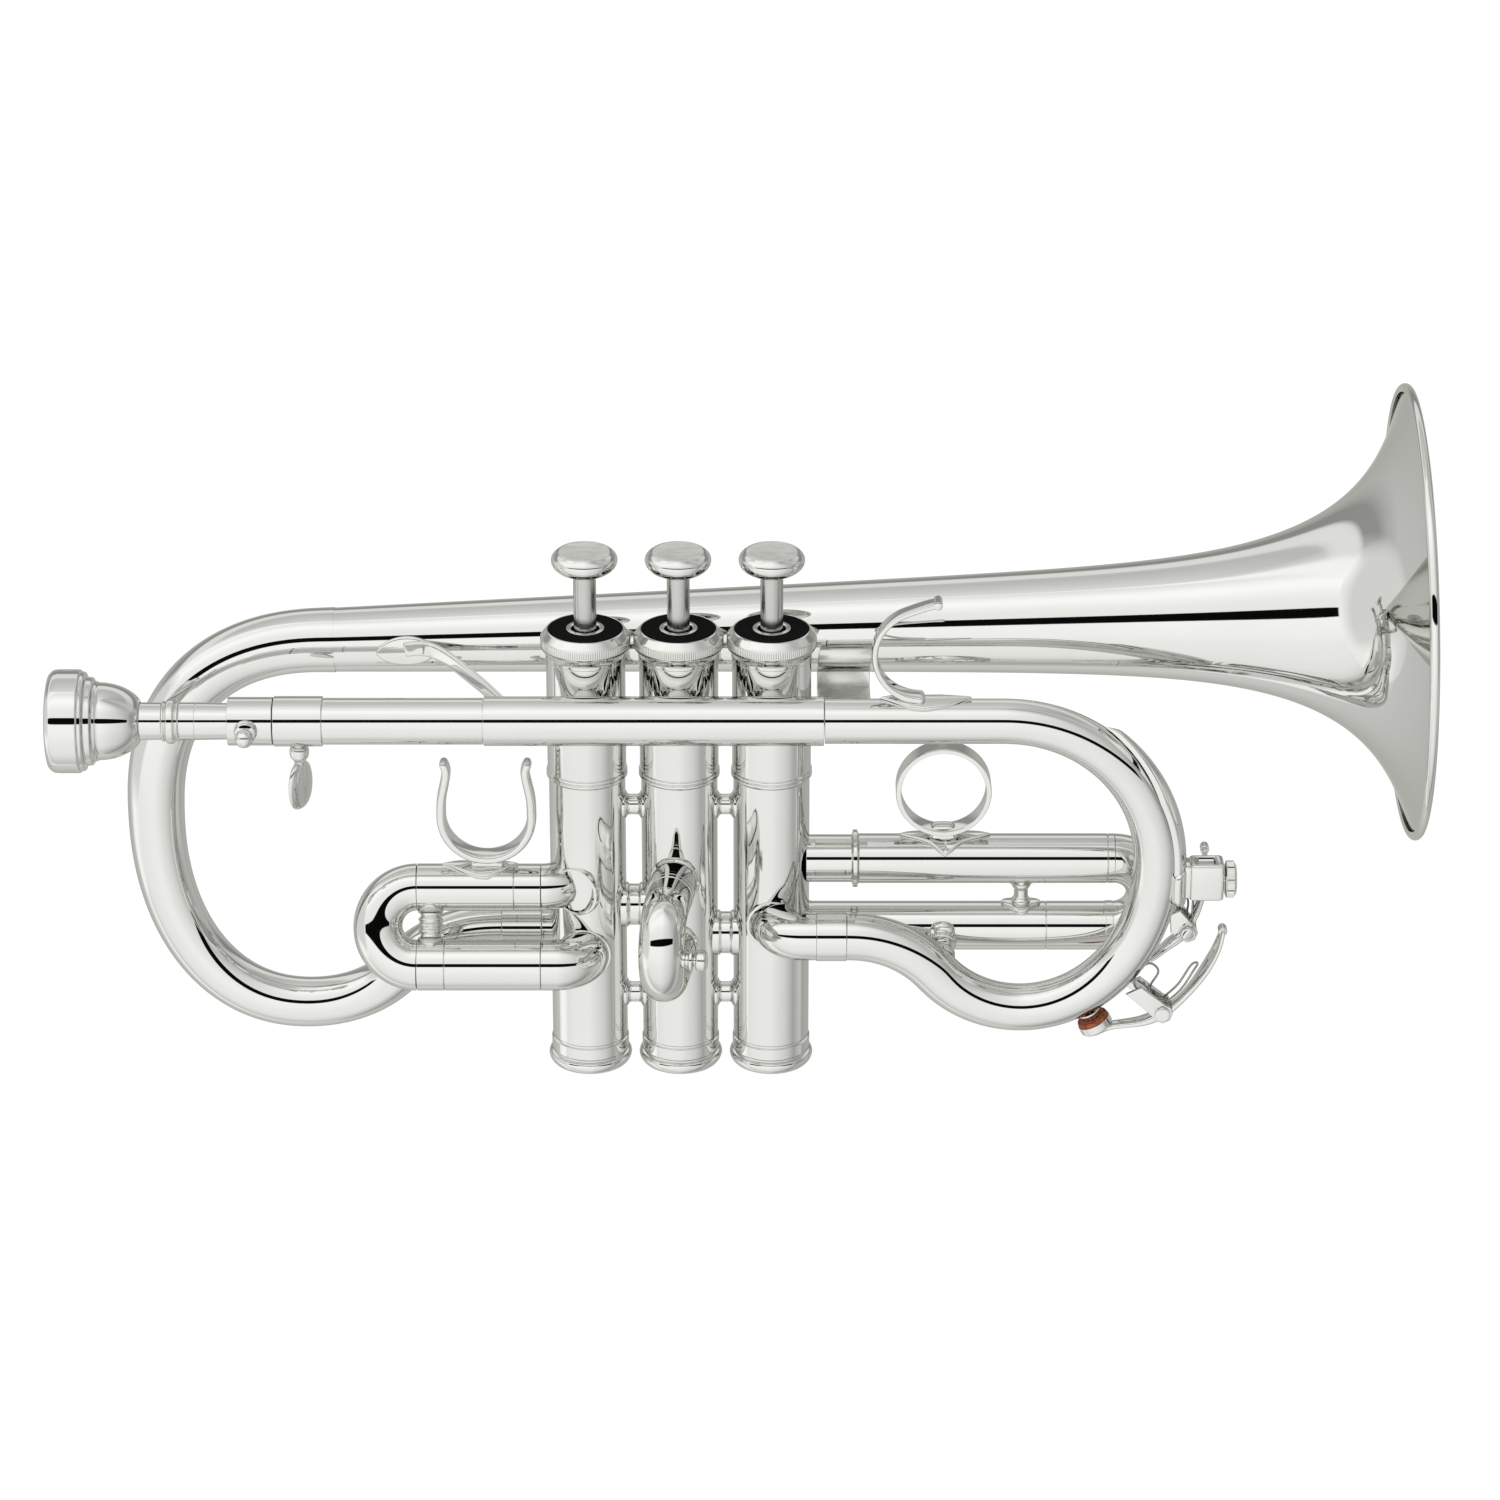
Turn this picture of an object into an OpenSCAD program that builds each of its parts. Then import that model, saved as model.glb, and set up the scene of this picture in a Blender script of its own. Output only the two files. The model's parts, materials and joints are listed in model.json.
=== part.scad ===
// Three-valve cornet with a fixed-ring third slide, a saddle first slide and a tuning shank.
// Millimetres. +X runs from mouthpiece to bell, +Z up along the valves to the finger buttons,
// -Y to the player's right. The origin is the centre of the second valve's bottom cap.

/* [Valves] */
// Distance between neighbouring valve axes
valve_pitch = 24.5; // [24:0.1:25]
// Outer radius of the lower casing
casing_r = 10.15; // [10:0.05:10.2]
// Wall between the casing's outside and the piston
casing_wall = 1.7; // [1.4:0.1:1.9]
// Piston travel
stroke = 14.5; // [10:0.1:14.6]
// Height of the top face of the caps
cap_top_z = 127.4; // [127:0.1:128]
// Radius of the valve stems
stem_r = 3; // [2.7:0.05:3.2]
// Radius of the finger buttons
button_r = 8.7; // [8:0.1:9]

/* [Bell] */
// Distance of the bell axis from the valve row
bell_y = 22.3; // [22.2:0.1:23]
// Height of the bell axis where the crook begins
bell_z = 114.4; // [114:0.1:115]
// X where the crook meets the bell tail
bell_tail_x = -92; // [-93:0.5:-91]
// Length from the bell tail to the rim
bell_length = 288; // [284:1:292]
// Upward tilt of the bell, degrees
bell_tilt = 1.6; // [1.2:0.1:1.8]
// Sheet thickness of the bell and crooks
sheet = 0.6; // [0.5:0.1:0.8]

/* [Leadpipe] */
// Distance of the leadpipe in front of the valve row
lead_y = -17.2; // [-17.4:0.1:-17.1]
// Height of the leadpipe axis
lead_z = 108.2; // [108:0.1:108.6]
// Outer radius of the long sleeve
sleeve_r = 6.5; // [6.4:0.05:6.55]
// Outer radius of the leadpipe crook where it leaves the sleeve
crook_r = 5.95; // [5.8:0.05:6.1]
// Radius of the upper bend of the front crook
bend_r = 41; // [40:0.5:42]

/* [Slides] */
// Reach of the first slide to the left of the first valve
slide1_seam_x = -70; // [-71:0.5:-69]
// Distance between the first slide's legs, centre to centre
slide1_gap = 20.8; // [20.4:0.1:21]
// Distance between the second slide's legs, centre to centre
slide2_gap = 19.8; // [19:0.1:21]
// X of the seam between the third slide's bow and its tubes
slide3_seam_x = 114.3; // [113.5:0.1:115]
// Distance between the third slide's legs, centre to centre
slide3_gap = 20; // [19.6:0.1:20.2]
// Inner radius of the thumb saddle
saddle_r = 10.8; // [10:0.1:11.2]
// Inner radius of the finger ring
ring_r = 11.3; // [10.8:0.1:11.6]

/* [Mouthpiece] */
// Outer radius of the mouthpiece rim
rim_r = 13.6; // [13.2:0.1:14]
// Depth of the mouthpiece cup
cup_depth = 13; // [11:0.5:14]

/* [Hidden] */
eps = 0.01;
fit = 0.06;
$fn = 64;

// valve heights
cap_bottom_h = 4.3;
seam_z = 8.4;
ring_z = 85.6;
ring_h = 1.4;
casing_top_z = 119.4;
upper_r = casing_r + 0.3;
bead_r = casing_r + 0.6;
bore_r = casing_r - casing_wall;
piston_r = bore_r - fit;
cap_r = 11.8;
thread_r = bore_r + 0.7;
thread_z = 112;
felt_r = 9.75;
felt_h = 1.5;
hub_r = 5.1;
piston_z = 24.2;
barrel_z = 78;
piston_top_z = 119;
barrel_wall = 1.2;
guide_h = 3;
button_z = 142.3;
button_h = 6.9;
port_low_z = 38.2;
port_mid_z = 46.6;
port_front_z = 45.4;
valve_x = [-valve_pitch, 0, valve_pitch];

// bell flare terms: radius = tail + cone + two exponentials measured back from the rim
flare_tail = 8.55;
flare_cone = 0.0256;
flare_wide = 31.3;
flare_wide_len = 23;
flare_lip = 12.4;
flare_lip_len = 5.9;
rim_bead_r = 1.35;
flare_steps = 48;
bell_core_len = 150;
solder = 0.08;

// bell crook: two quarter superellipses and an S-bend, in the vertical plane
crook_mid_z = 67.2;
crook_left_x = -141.3;
crook_low_x = -101;
crook_low_z = 12.6;
crook_end_x = -48;
crook_end_z = port_low_z;
crook_end_y = 3;
crook_low_y = 9;
crook_tail_r = 8.75;
crook_end_r = 6.2;
crook_power_top = 2.4;
crook_power_low = 2.2;
quarter_steps = 12;
bend_steps = 5;
round_sides = 24;

// front crook
bend_x = 85.5;
bend_z = lead_z - bend_r;
front_low_x = 91;
front_low_z = 24.4;
front_end_x = 44.5;
front_end_z = port_front_z;
front_low_r = 6.3;
front_end_r = 6.2;
sleeve_x0 = -50.7;
sleeve_x1 = 38.1;

// tuning shank, lock ring and mouthpipe
collar_x = -117.5;
lock_x0 = -105.7;
lock_x1 = -92.8;
pipe_r = 6.13;
shank_tube_r = 5.5;
collar_r = 6.37;
lock_r = 6.62;
screw_x = -99.2;
mouth_x = -165;

// slides
slide1_lean = 26;
slide1_r = 6.3;
slide1_top = [-7, 55.1];
slide1_low = slide1_top - slide1_gap * [sin(slide1_lean), cos(slide1_lean)];
slide1_bow_r = slide1_gap / 2;
slide1_out = -36.8;
slide2_z = 58.5;
slide2_yaw = 7;
slide2_r = 6.05;
slide2_seam = 19;
slide2_bow = 26.9;
slide3_top = 60.3;
slide3_r = 6.65;
slide3_low_r = 6.6;
slide3_bow_x = 116.2;
slide3_ring_x = 46.9;
slide3_low_seam = 98.2;
slide3_low = slide3_top - slide3_gap;
tube_wall = 0.55;

// water keys
key_w = 4.4;

// ---------- shared shapes ----------

// A tube along +X from x0 to x1 on the line (y, z)
module tube_x(x0, x1, y, z, r, bore) {
    translate([x0, y, z]) rotate([0, 90, 0]) difference() {
        cylinder(h = x1 - x0, r = r);
        translate([0, 0, -eps]) cylinder(h = x1 - x0 + 2 * eps, r = bore);
    }
}

// A solid rod between two points
module rod(a, b, r) {
    d = b - a;
    len = norm(d);
    turn = atan2(d[1], d[0]);
    lean = acos(d[2] / len);
    translate(a) rotate([0, lean, turn]) cylinder(h = len, r = r);
}

// A post turned like a baluster, from a to b, with feet and a centre bead
module baluster(a, b, waist, foot) {
    d = b - a;
    len = norm(d);
    turn = atan2(d[1], d[0]);
    lean = acos(d[2] / len);
    translate(a) rotate([0, lean, turn]) rotate_extrude() polygon([
        [0, 0], [foot, 0], [foot, len * 0.14], [waist, len * 0.3], [waist, len * 0.42],
        [waist * 1.4, len * 0.46], [waist * 1.4, len * 0.54], [waist, len * 0.58],
        [waist, len * 0.7], [foot, len * 0.86], [foot, len], [0, len]]);
}

function unit(v) = v / norm(v);
function mix(a, b, t) = a + (b - a) * t;
function ease(t) = t * t * (3 - 2 * t);

function path_dir(p, i) = unit(p[min(i + 1, len(p) - 1)] - p[max(i - 1, 0)]);
function ring_point(c, d, r, a, across) =
    let (side = unit(cross(d, across)), up = cross(side, d))
    c + r * (cos(a) * side + sin(a) * up);

// A closed skin with an outer and an inner wall along a path, so the bore is real
module swept_tube(p, radii, wall) {
    n = len(p);
    s = round_sides;
    outer = [for (i = [0:n - 1]) for (k = [0:s - 1])
        ring_point(p[i], path_dir(p, i), radii[i], 360 * k / s, [0, 1, 0])];
    inner = [for (i = [0:n - 1]) for (k = [0:s - 1])
        ring_point(p[i], path_dir(p, i), radii[i] - wall, 360 * k / s, [0, 1, 0])];
    m = n * s;
    out_faces = [for (i = [0:n - 2]) for (k = [0:s - 1]) let (j = (k + 1) % s)
        each [[i * s + k, i * s + j, (i + 1) * s + j], [i * s + k, (i + 1) * s + j, (i + 1) * s + k]]];
    in_faces = [for (i = [0:n - 2]) for (k = [0:s - 1]) let (j = (k + 1) % s)
        each [[m + i * s + k, m + (i + 1) * s + j, m + i * s + j],
            [m + i * s + k, m + (i + 1) * s + k, m + (i + 1) * s + j]]];
    start = [for (k = [0:s - 1]) let (j = (k + 1) % s)
        each [[k, m + k, m + j], [k, m + j, j]]];
    e = (n - 1) * s;
    finish = [for (k = [0:s - 1]) let (j = (k + 1) % s)
        each [[e + k, m + e + j, m + e + k], [e + k, e + j, m + e + j]]];
    polyhedron(points = concat(outer, inner), faces = concat(out_faces, in_faces, start, finish));
}

// A strip of constant thickness along a list of points, as a flat outline
function strip_side(p, i) = let (d = path_dir(p, i)) [-d[1], d[0]];
function strip_outline(p, t) = concat(
    [for (i = [0:len(p) - 1]) p[i] + strip_side(p, i) * t / 2],
    [for (i = [len(p) - 1:-1:0]) p[i] - strip_side(p, i) * t / 2]);

// Draws an XZ outline as a plate centred on y, w wide
module upright(y, w) {
    translate([0, y + w / 2, 0]) rotate([90, 0, 0]) linear_extrude(height = w) children();
}

function arc_points(c, r, a0, a1, n) =
    [for (i = [0:n]) c + r * [cos(mix(a0, a1, i / n)), sin(mix(a0, a1, i / n))]];

// A wire of round section along a path that climbs in Z
module swept_wire(p, r, sides) {
    n = len(p);
    pts = [for (i = [0:n - 1]) for (k = [0:sides - 1])
        ring_point(p[i], path_dir(p, i), r, 360 * k / sides, [0, 0, 1])];
    skin = [for (i = [0:n - 2]) for (k = [0:sides - 1]) let (j = (k + 1) % sides)
        each [[i * sides + k, i * sides + j, (i + 1) * sides + j],
            [i * sides + k, (i + 1) * sides + j, (i + 1) * sides + k]]];
    ends = concat([[for (k = [sides - 1:-1:0]) k]], [[for (k = [0:sides - 1]) (n - 1) * sides + k]]);
    polyhedron(points = pts, faces = concat(skin, ends));
}

// A rod that runs lead along +X, bends turn degrees towards +Y on radius bend, and runs on by stub
module bent_rod(lead, bend, turn, stub, r, over) {
    translate([-over, 0, 0]) rotate([0, 90, 0]) cylinder(h = lead + over, r = r);
    translate([lead, bend, 0]) rotate([0, 0, -90]) rotate_extrude(angle = turn)
        translate([bend, 0]) circle(r);
    translate([lead, bend, 0]) rotate([0, 0, turn]) translate([0, -bend, 0]) rotate([0, 90, 0])
        cylinder(h = stub + over, r = r);
}

// A hollow bent tube
module bent_tube(lead, turn, stub, r) {
    bend = r + 0.4;
    difference() {
        bent_rod(lead, bend, turn, stub, r, 0);
        bent_rod(lead, bend, turn, stub, r - tube_wall, eps);
    }
}

// Solid cores of the three casings, for cutting pieces that are soldered to them
module casing_cores(r) {
    for (x = valve_x) translate([x, 0, -eps]) cylinder(h = cap_top_z, r = r);
}

// A diamond foot wrapped over the top of a tube that runs along X
module saddle_foot(x, y, z, r, length, width, thick) {
    intersection() {
        tube_x(x - length / 2, x + length / 2, y, z, r + thick, r);
        translate([x, y, z]) linear_extrude(height = r + 2 * thick) polygon([
            [-length / 2, 0], [-length * 0.14, -width / 2], [length * 0.14, -width / 2],
            [length / 2, 0], [length * 0.14, width / 2], [-length * 0.14, width / 2]]);
    }
}

// ---------- bell and crooks ----------

function flare(d) = flare_tail + flare_cone * (bell_length - d)
    + flare_wide * exp(-d / flare_wide_len) + flare_lip * exp(-d / flare_lip_len);
function flare_point(i) =
    let (back = (bell_length - rim_bead_r) * pow(1 - i / flare_steps, 2.2))
    [flare(back), bell_length - rim_bead_r - back];

module along_bell() {
    translate([bell_tail_x, bell_y, bell_z]) rotate([0, 90 - bell_tilt, 0]) children();
}

// The outside of the bell's tail as a solid cone, for cutting what is soldered to it
module bell_tail_core() {
    along_bell() cylinder(h = bell_core_len, $fn = 96, r1 = flare(bell_length) + solder,
        r2 = flare(bell_length - bell_core_len) + solder);
}

module bell() {
    skin = [for (i = [0:flare_steps]) flare_point(i)];
    lining = [for (i = [flare_steps:-1:0]) i == 0 ? skin[0] - [sheet, 0]
        : skin[i] + strip_side(skin, i) * sheet];
    color("silver") along_bell() {
        rotate_extrude($fn = 96) polygon(concat(skin, lining));
        rotate_extrude($fn = 96) translate(skin[flare_steps]) circle(rim_bead_r);
    }
}

function quarter(c, a, b, power, a0, a1) = [for (i = [1:quarter_steps])
    let (t = mix(a0, a1, i / quarter_steps))
    [c[0] + a * sign(round(cos(t) * 1e6)) * pow(abs(cos(t)), 2 / power),
        c[1] + b * sign(round(sin(t) * 1e6)) * pow(abs(sin(t)), 2 / power)]];

// Two equal arcs that climb from a level point low to a level point end
function s_bend(low, end) =
    let (run = end[0] - low[0], rise = end[1] - low[1], turn = 2 * atan(rise / abs(run)),
        r = abs(run) / (2 * sin(turn)), way = sign(run))
    concat([for (i = [1:bend_steps]) let (t = turn * i / bend_steps)
            [low[0] + way * r * sin(t), low[1] + r * (1 - cos(t))]],
        [for (i = [bend_steps - 1:-1:0]) let (t = turn * i / bend_steps)
            [end[0] - way * r * sin(t), end[1] - r * (1 - cos(t))]]);

crook_start = [bell_tail_x - cos(bell_tilt), bell_z - sin(bell_tilt)];
crook_loop = concat(
    quarter([crook_start[0], crook_mid_z], crook_start[0] - crook_left_x, crook_start[1] - crook_mid_z,
        crook_power_top, 90, 180),
    quarter([crook_low_x, crook_mid_z], crook_low_x - crook_left_x, crook_mid_z - crook_low_z,
        crook_power_low, 180, 270));
crook_rise = s_bend([crook_low_x, crook_low_z], [crook_end_x - 1, crook_end_z]);
crook_path = concat(
    [[bell_tail_x, bell_y, bell_z], [crook_start[0], bell_y, crook_start[1]]],
    [for (i = [0:len(crook_loop) - 1]) let (p = crook_loop[i])
        [p[0], mix(bell_y, crook_low_y, ease((i + 1) / len(crook_loop))), p[1]]],
    [for (i = [0:len(crook_rise) - 1]) let (p = crook_rise[i])
        [p[0], mix(crook_low_y, crook_end_y, ease((i + 1) / len(crook_rise))), p[1]]],
    [[crook_end_x, crook_end_y, crook_end_z]]);
crook_radii = [for (i = [0:len(crook_path) - 1])
    mix(crook_tail_r, crook_end_r, pow(i / (len(crook_path) - 1), 0.8))];

module bell_crook() {
    color("silver") swept_tube(crook_path, crook_radii, sheet);
}

front_rise = s_bend([front_low_x, front_low_z], [front_end_x + 1, front_end_z]);
front_flat = concat([[sleeve_x1, lead_z], [sleeve_x1 + 1, lead_z], [bend_x, lead_z]],
    quarter([bend_x, bend_z], bend_r, bend_r, 2, 90, 0),
    quarter([front_low_x, bend_z], bend_x + bend_r - front_low_x, bend_z - front_low_z, 2, 0, -90),
    front_rise, [[front_end_x, front_end_z]]);
front_path = [for (p = front_flat) [p[0], lead_y, p[1]]];
front_radii = [for (p = front_flat)
    p[1] > bend_z ? mix(front_low_r, crook_r, (p[1] - bend_z) / bend_r) : front_low_r];

module front_crook() {
    color("silver") swept_tube(front_path, front_radii, sheet);
}

module crook_ferrules() {
    color("silver") {
        tube_x(crook_end_x, slide1_out - 0.4, crook_end_y, crook_end_z, crook_end_r + 0.45,
            crook_end_r - sheet);
        tube_x(sleeve_x1 - 1.7, front_end_x, lead_y, front_end_z, front_low_r + 0.25, front_low_r - 0.6);
    }
}

module port_knuckles() {
    front_turn_x = 32.7;
    front_x0 = sleeve_x1 - 1.7;
    low_lead = 4;
    color("silver") difference() {
        union() {
            tube_x(slide1_out - 0.4, valve_x[0] - 6, crook_end_y, crook_end_z, crook_end_r,
                crook_end_r - tube_wall);
            translate([front_x0, lead_y, front_end_z]) mirror([1, 0, 0])
                bent_tube(front_x0 - front_turn_x, 90, 5, front_low_r);
            translate([slide1_out, slide1_top[0], slide1_top[1]]) bent_tube(0.2, 55, 5, slide1_r);
            translate([slide1_out, slide1_low[0], slide1_low[1]]) bent_tube(low_lead, 90, 5, slide1_r + 0.5);
        }
        casing_cores(casing_r);
    }
}

module crook_guard() {
    color("silver") translate([bend_x, lead_y, bend_z]) rotate([90, 0, 0])
        rotate_extrude(angle = 62, $fn = 96) translate([bend_r, 0]) difference() {
            intersection() {
                circle(front_low_r + 1.5, $fn = 48);
                translate([4, -6]) square([6, 12]);
            }
            circle(front_low_r + 0.1, $fn = 48);
        }
}

module bell_braces() {
    strut = concat(arc_points([-63, 11], 7, 162, 258, 6), arc_points([-58, -12.6], 9, 60, 12, 6));
    strut_z = 112.6;
    strut_w = 4.8;
    strut_thick = 1.5;
    foot_r = 4.6;
    strap = [14.4, 31.5, 1.6];
    strap_tilt = -7;
    color("silver") difference() {
        union() {
            translate([0, 0, strut_z]) linear_extrude(height = strut_w)
                polygon(strip_outline(strut, strut_thick));
            rod([-70, 13.9, 115.2], [-69.2, 11.6, 115.2], foot_r);
            difference() {
                translate([36.6, -14, 110.4]) rotate([strap_tilt, 0, 0]) cube(strap);
                tube_x(30, 60, lead_y, lead_z, sleeve_r + 0.15, 1);
            }
        }
        bell_tail_core();
    }
}

module pinky_hook() {
    hook = concat(arc_points([63.6, 127.4], 12.4, 272, 112, 18), [[67, 141.2]]);
    color("silver") {
        upright(lead_y, 5.6) polygon(strip_outline(hook, 1.8));
        saddle_foot(64.6, lead_y, lead_z, crook_r + 0.02, 24, 8, 1);
    }
}

// ---------- leadpipe ----------

module leadpipe_sleeve() {
    color("silver") tube_x(sleeve_x0, sleeve_x1, lead_y, lead_z, sleeve_r, pipe_r + 0.02);
}

module mouthpipe() {
    color("silver") tube_x(lock_x1 - 9, -30, lead_y, lead_z, pipe_r, shank_tube_r + fit);
}

module lock_ring() {
    color("silver") difference() {
        tube_x(lock_x0 + 0.2, lock_x1, lead_y, lead_z, lock_r, pipe_r + 0.03);
        rod([screw_x, lead_y, lead_z], [screw_x, lead_y, lead_z - 9], 1.5);
    }
}

module thumb_screw() {
    color("silver") translate([screw_x, lead_y, 0]) {
        rod([0, 0, lead_z - pipe_r - 0.25], [0, 0, 98.2], 1.42);
        translate([0, 0, 96.2]) rotate_extrude()
            polygon([[0, 0], [1.8, 0.2], [3, 2.6], [3.1, 4.8], [0, 4.8]]);
        rotate([0, 0, 70]) translate([0, 1.1, 90.1]) rotate([90, 0, 0]) intersection() {
            translate([2.4, 0, 0]) cylinder(h = 2.2, r = 7.2);
            translate([-2.4, 0, 0]) cylinder(h = 2.2, r = 7.2);
        }
    }
}

module tuning_shank() {
    color("silver") translate([collar_x, lead_y, lead_z]) rotate([0, 90, 0]) rotate_extrude() polygon([
        [4.85, 0], [collar_r - 0.4, 0], [collar_r, 0.5], [collar_r, lock_x0 - collar_x - 0.2],
        [shank_tube_r, lock_x0 - collar_x - 0.2], [shank_tube_r, 62], [4.7, 62], [4.55, 22]]);
}

module shank_knob() {
    color("silver") translate([-112.4, lead_y, lead_z]) rotate([90, 0, 0]) {
        difference() {
            translate([0, 0, collar_r - 0.6]) cylinder(h = 2.4, r = 3);
            translate([0, 0, 0]) rotate([0, 90, 0]) cylinder(h = 20, r = collar_r + 0.02, center = true);
        }
        translate([0, 0, collar_r + 1.8]) cylinder(h = 1.4, r = 1.3);
        translate([0, 0, collar_r + 4.2]) sphere(2.15);
    }
}

module mouthpiece() {
    cup = [for (i = [0:8]) [9.0 * cos(90 * i / 8 * 0.86), cup_depth * sin(90 * i / 8 * 0.86)]];
    color("silver") translate([mouth_x, lead_y, lead_z]) rotate([0, 90, 0]) rotate_extrude() polygon(concat(
        [[10.2, 0], [12.2, 0.3], [13.2, 1], [rim_r, 2.4], [rim_r, 8.4], [13.2, 9.6], [11.6, 10.1],
            [11.3, 12], [10.6, 13.4], [10.2, 13.8], [10, 17], [9.2, 20], [7.8, 22.3], [6, 24], [5, 25.2],
            [4.9, 30], [5.7, 30.8], [6, 32.2], [5.7, 33.6], [4.95, 34.4], [4.78, 47], [4.52, 67.6],
            [3.9, 67.9]],
        [[3.9, 60], [1.9, 24], [1.9, 14.6]],
        [for (i = [7:-1:0]) cup[i]], [[9.3, 0]]));
}

// ---------- valves ----------

// Each port is the point outside the casing that its tube comes from
ports = [
    [[-33.4, crook_end_y, crook_end_z], [-33, slide1_top[0], slide1_top[1]],
        [-25.5, slide1_low[0], slide1_low[1]], [0, 0, port_mid_z]],
    [[-valve_pitch, 0, port_mid_z], [valve_pitch, 0, port_low_z],
        [0, -12, slide2_z], [0, -12, slide2_z - slide2_gap]],
    [[0, 0, port_low_z], [26.1, lead_y, front_end_z], [40, 0, slide3_top], [40, 0, slide3_low]]];

module casing(v) {
    band_r = casing_r + 0.2;
    color("silver") difference() {
        translate([valve_x[v], 0, 0]) rotate_extrude() polygon([
            [bore_r, cap_bottom_h], [band_r, cap_bottom_h], [band_r, seam_z], [casing_r, seam_z + 0.3],
            [casing_r, ring_z], [bead_r, ring_z + 0.2], [bead_r, ring_z + ring_h], [upper_r, ring_z + ring_h],
            [upper_r, casing_top_z], [thread_r, casing_top_z], [thread_r, thread_z], [bore_r, thread_z]]);
        for (p = ports[v]) rod([valve_x[v], 0, p[2]] + unit(p - [valve_x[v], 0, p[2]]) * 4,
            [valve_x[v], 0, p[2]] + unit(p - [valve_x[v], 0, p[2]]) * 12, 5.2);
    }
}

module casing_1() { casing(0); }
module casing_2() { casing(1); }
module casing_3() { casing(2); }

module valve_tubes() {
    color("silver") difference() {
        union() {
            rod([valve_x[0] + 5, 0, port_mid_z], [-5, 0, port_mid_z], 5.95);
            rod([5, 0, port_low_z], [valve_x[2] - 5, 0, port_low_z], 6.1);
        }
        rod([valve_x[0], 0, port_mid_z], [0, 0, port_mid_z], 5.2);
        rod([0, 0, port_low_z], [valve_x[2], 0, port_low_z], 5.2);
        casing_cores(casing_r);
    }
}

module braces() {
    stay_x = 70.5;
    between_z = [20.3, 76.3];
    block = [6, 5, 5];
    color("silver") {
        difference() {
            for (x = [-valve_pitch, 0]) for (z = between_z)
                baluster([x + 8, 0, z], [x + valve_pitch - 8, 0, z], 2.5, 4.1);
            casing_cores(casing_r);
        }
        difference() {
            for (x = valve_x) translate([x - block[0] / 2, -12.6, lead_z - block[2] / 2]) cube(block);
            casing_cores(upper_r);
            tube_x(-40, 40, lead_y, lead_z, sleeve_r, 1);
        }
        difference() {
            baluster([91.5, 0, slide3_low + 5], [91.5, 0, slide3_top - 5], 2.6, 4);
            tube_x(80, 105, 0, slide3_low, slide3_low_r, 1);
            tube_x(80, 105, 0, slide3_top, slide3_r, 1);
        }
        difference() {
            baluster([stay_x, -1, slide3_low - 1], [stay_x - 0.6, -14.6, 33.2], 2.6, 3.6);
            tube_x(60, 80, 0, slide3_low, slide3_low_r, 1);
            rod([80, lead_y, 27.6], [62, lead_y, 40.6], front_low_r + 0.7);
        }
    }
}

module top_caps() {
    hub_bore = stem_r + fit;
    spigot_r = thread_r - 0.1;
    color("silver") for (x = valve_x) translate([x, 0, 0]) rotate_extrude() polygon([
        [hub_bore, 121.4], [bore_r + 0.05, 121.4], [bore_r + 0.05, 113.5], [spigot_r, 113.5],
        [spigot_r, casing_top_z], [upper_r + 0.1, casing_top_z], [upper_r + 0.3, 121.2], [cap_r, 122.7],
        [cap_r, 125.4], [felt_r + 0.3, cap_top_z - 0.2], [felt_r + 0.1, cap_top_z - 0.2],
        [felt_r + 0.1, cap_top_z - felt_h], [hub_r - 0.05, cap_top_z - felt_h],
        [hub_r - 0.05, cap_top_z + 0.1],
        [hub_bore + 0.4, cap_top_z + 0.1], [hub_bore, cap_top_z - 0.2]]);
}

module cap_felts() {
    color([0.03, 0.03, 0.03]) for (x = valve_x) translate([x, 0, cap_top_z - felt_h]) difference() {
        cylinder(h = felt_h, r = felt_r);
        translate([0, 0, -eps]) cylinder(h = felt_h + 2 * eps, r = hub_r);
    }
}

module bottom_caps() {
    plug_r = bore_r - 0.1;
    color("silver") for (x = valve_x) translate([x, 0, 0]) rotate_extrude() polygon([
        [0, 0], [9, 0], [10.2, 0.4], [10.9, 1.3], [11.1, 2.5], [10.8, 3.6], [10.3, cap_bottom_h],
        [plug_r, cap_bottom_h], [plug_r, 9], [plug_r - 1.2, 9], [plug_r - 1.2, 1.8], [0, 1.8]]);
}

module valve_guides() {
    color([0.93, 0.93, 0.9]) for (x = valve_x) translate([x, 0, barrel_z + 0.5]) difference() {
        union() {
            cylinder(h = guide_h, r = piston_r - barrel_wall - 0.15);
            translate([-piston_r + 0.1, -1.5, 0]) cube([2 * piston_r - 0.2, 3, guide_h]);
        }
        translate([0, 0, -eps]) cylinder(h = guide_h + 2 * eps, r = 3);
    }
}

// Each passage is a height and the two headings, in degrees, that it opens towards
passage_r = 4.4;
passages = [
    [[42.4, 180, 0], [57, 220, 0], [67.6, 180, 265]],
    [[42.4, 180, 0], [57, 180, 270], [67.6, 270, 0]],
    [[42.4, 180, 275], [57, 0, 275], [67.6, 180, 0]]];

module piston(v) {
    color([0.75, 0.74, 0.7]) translate([valve_x[v], 0, 0]) difference() {
        translate([0, 0, piston_z]) rotate(130) cylinder(h = piston_top_z - piston_z, r = piston_r);
        translate([0, 0, piston_z - eps]) cylinder(h = 9, r = piston_r - 1.6);
        for (p = passages[v]) translate([0, 0, p[0]]) {
            sphere(passage_r + 0.3);
            rotate([0, 90, p[1]]) cylinder(h = piston_r + 1, r = passage_r);
            rotate([0, 90, p[2]]) cylinder(h = piston_r + 1, r = passage_r);
        }
        translate([0, 0, barrel_z]) cylinder(h = piston_top_z, r = piston_r - barrel_wall);
        translate([-piston_r - 1, -1.7, barrel_z + 0.2]) cube([2 * piston_r + 2, 3.4, guide_h + stroke + 1]);
    }
}

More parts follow.
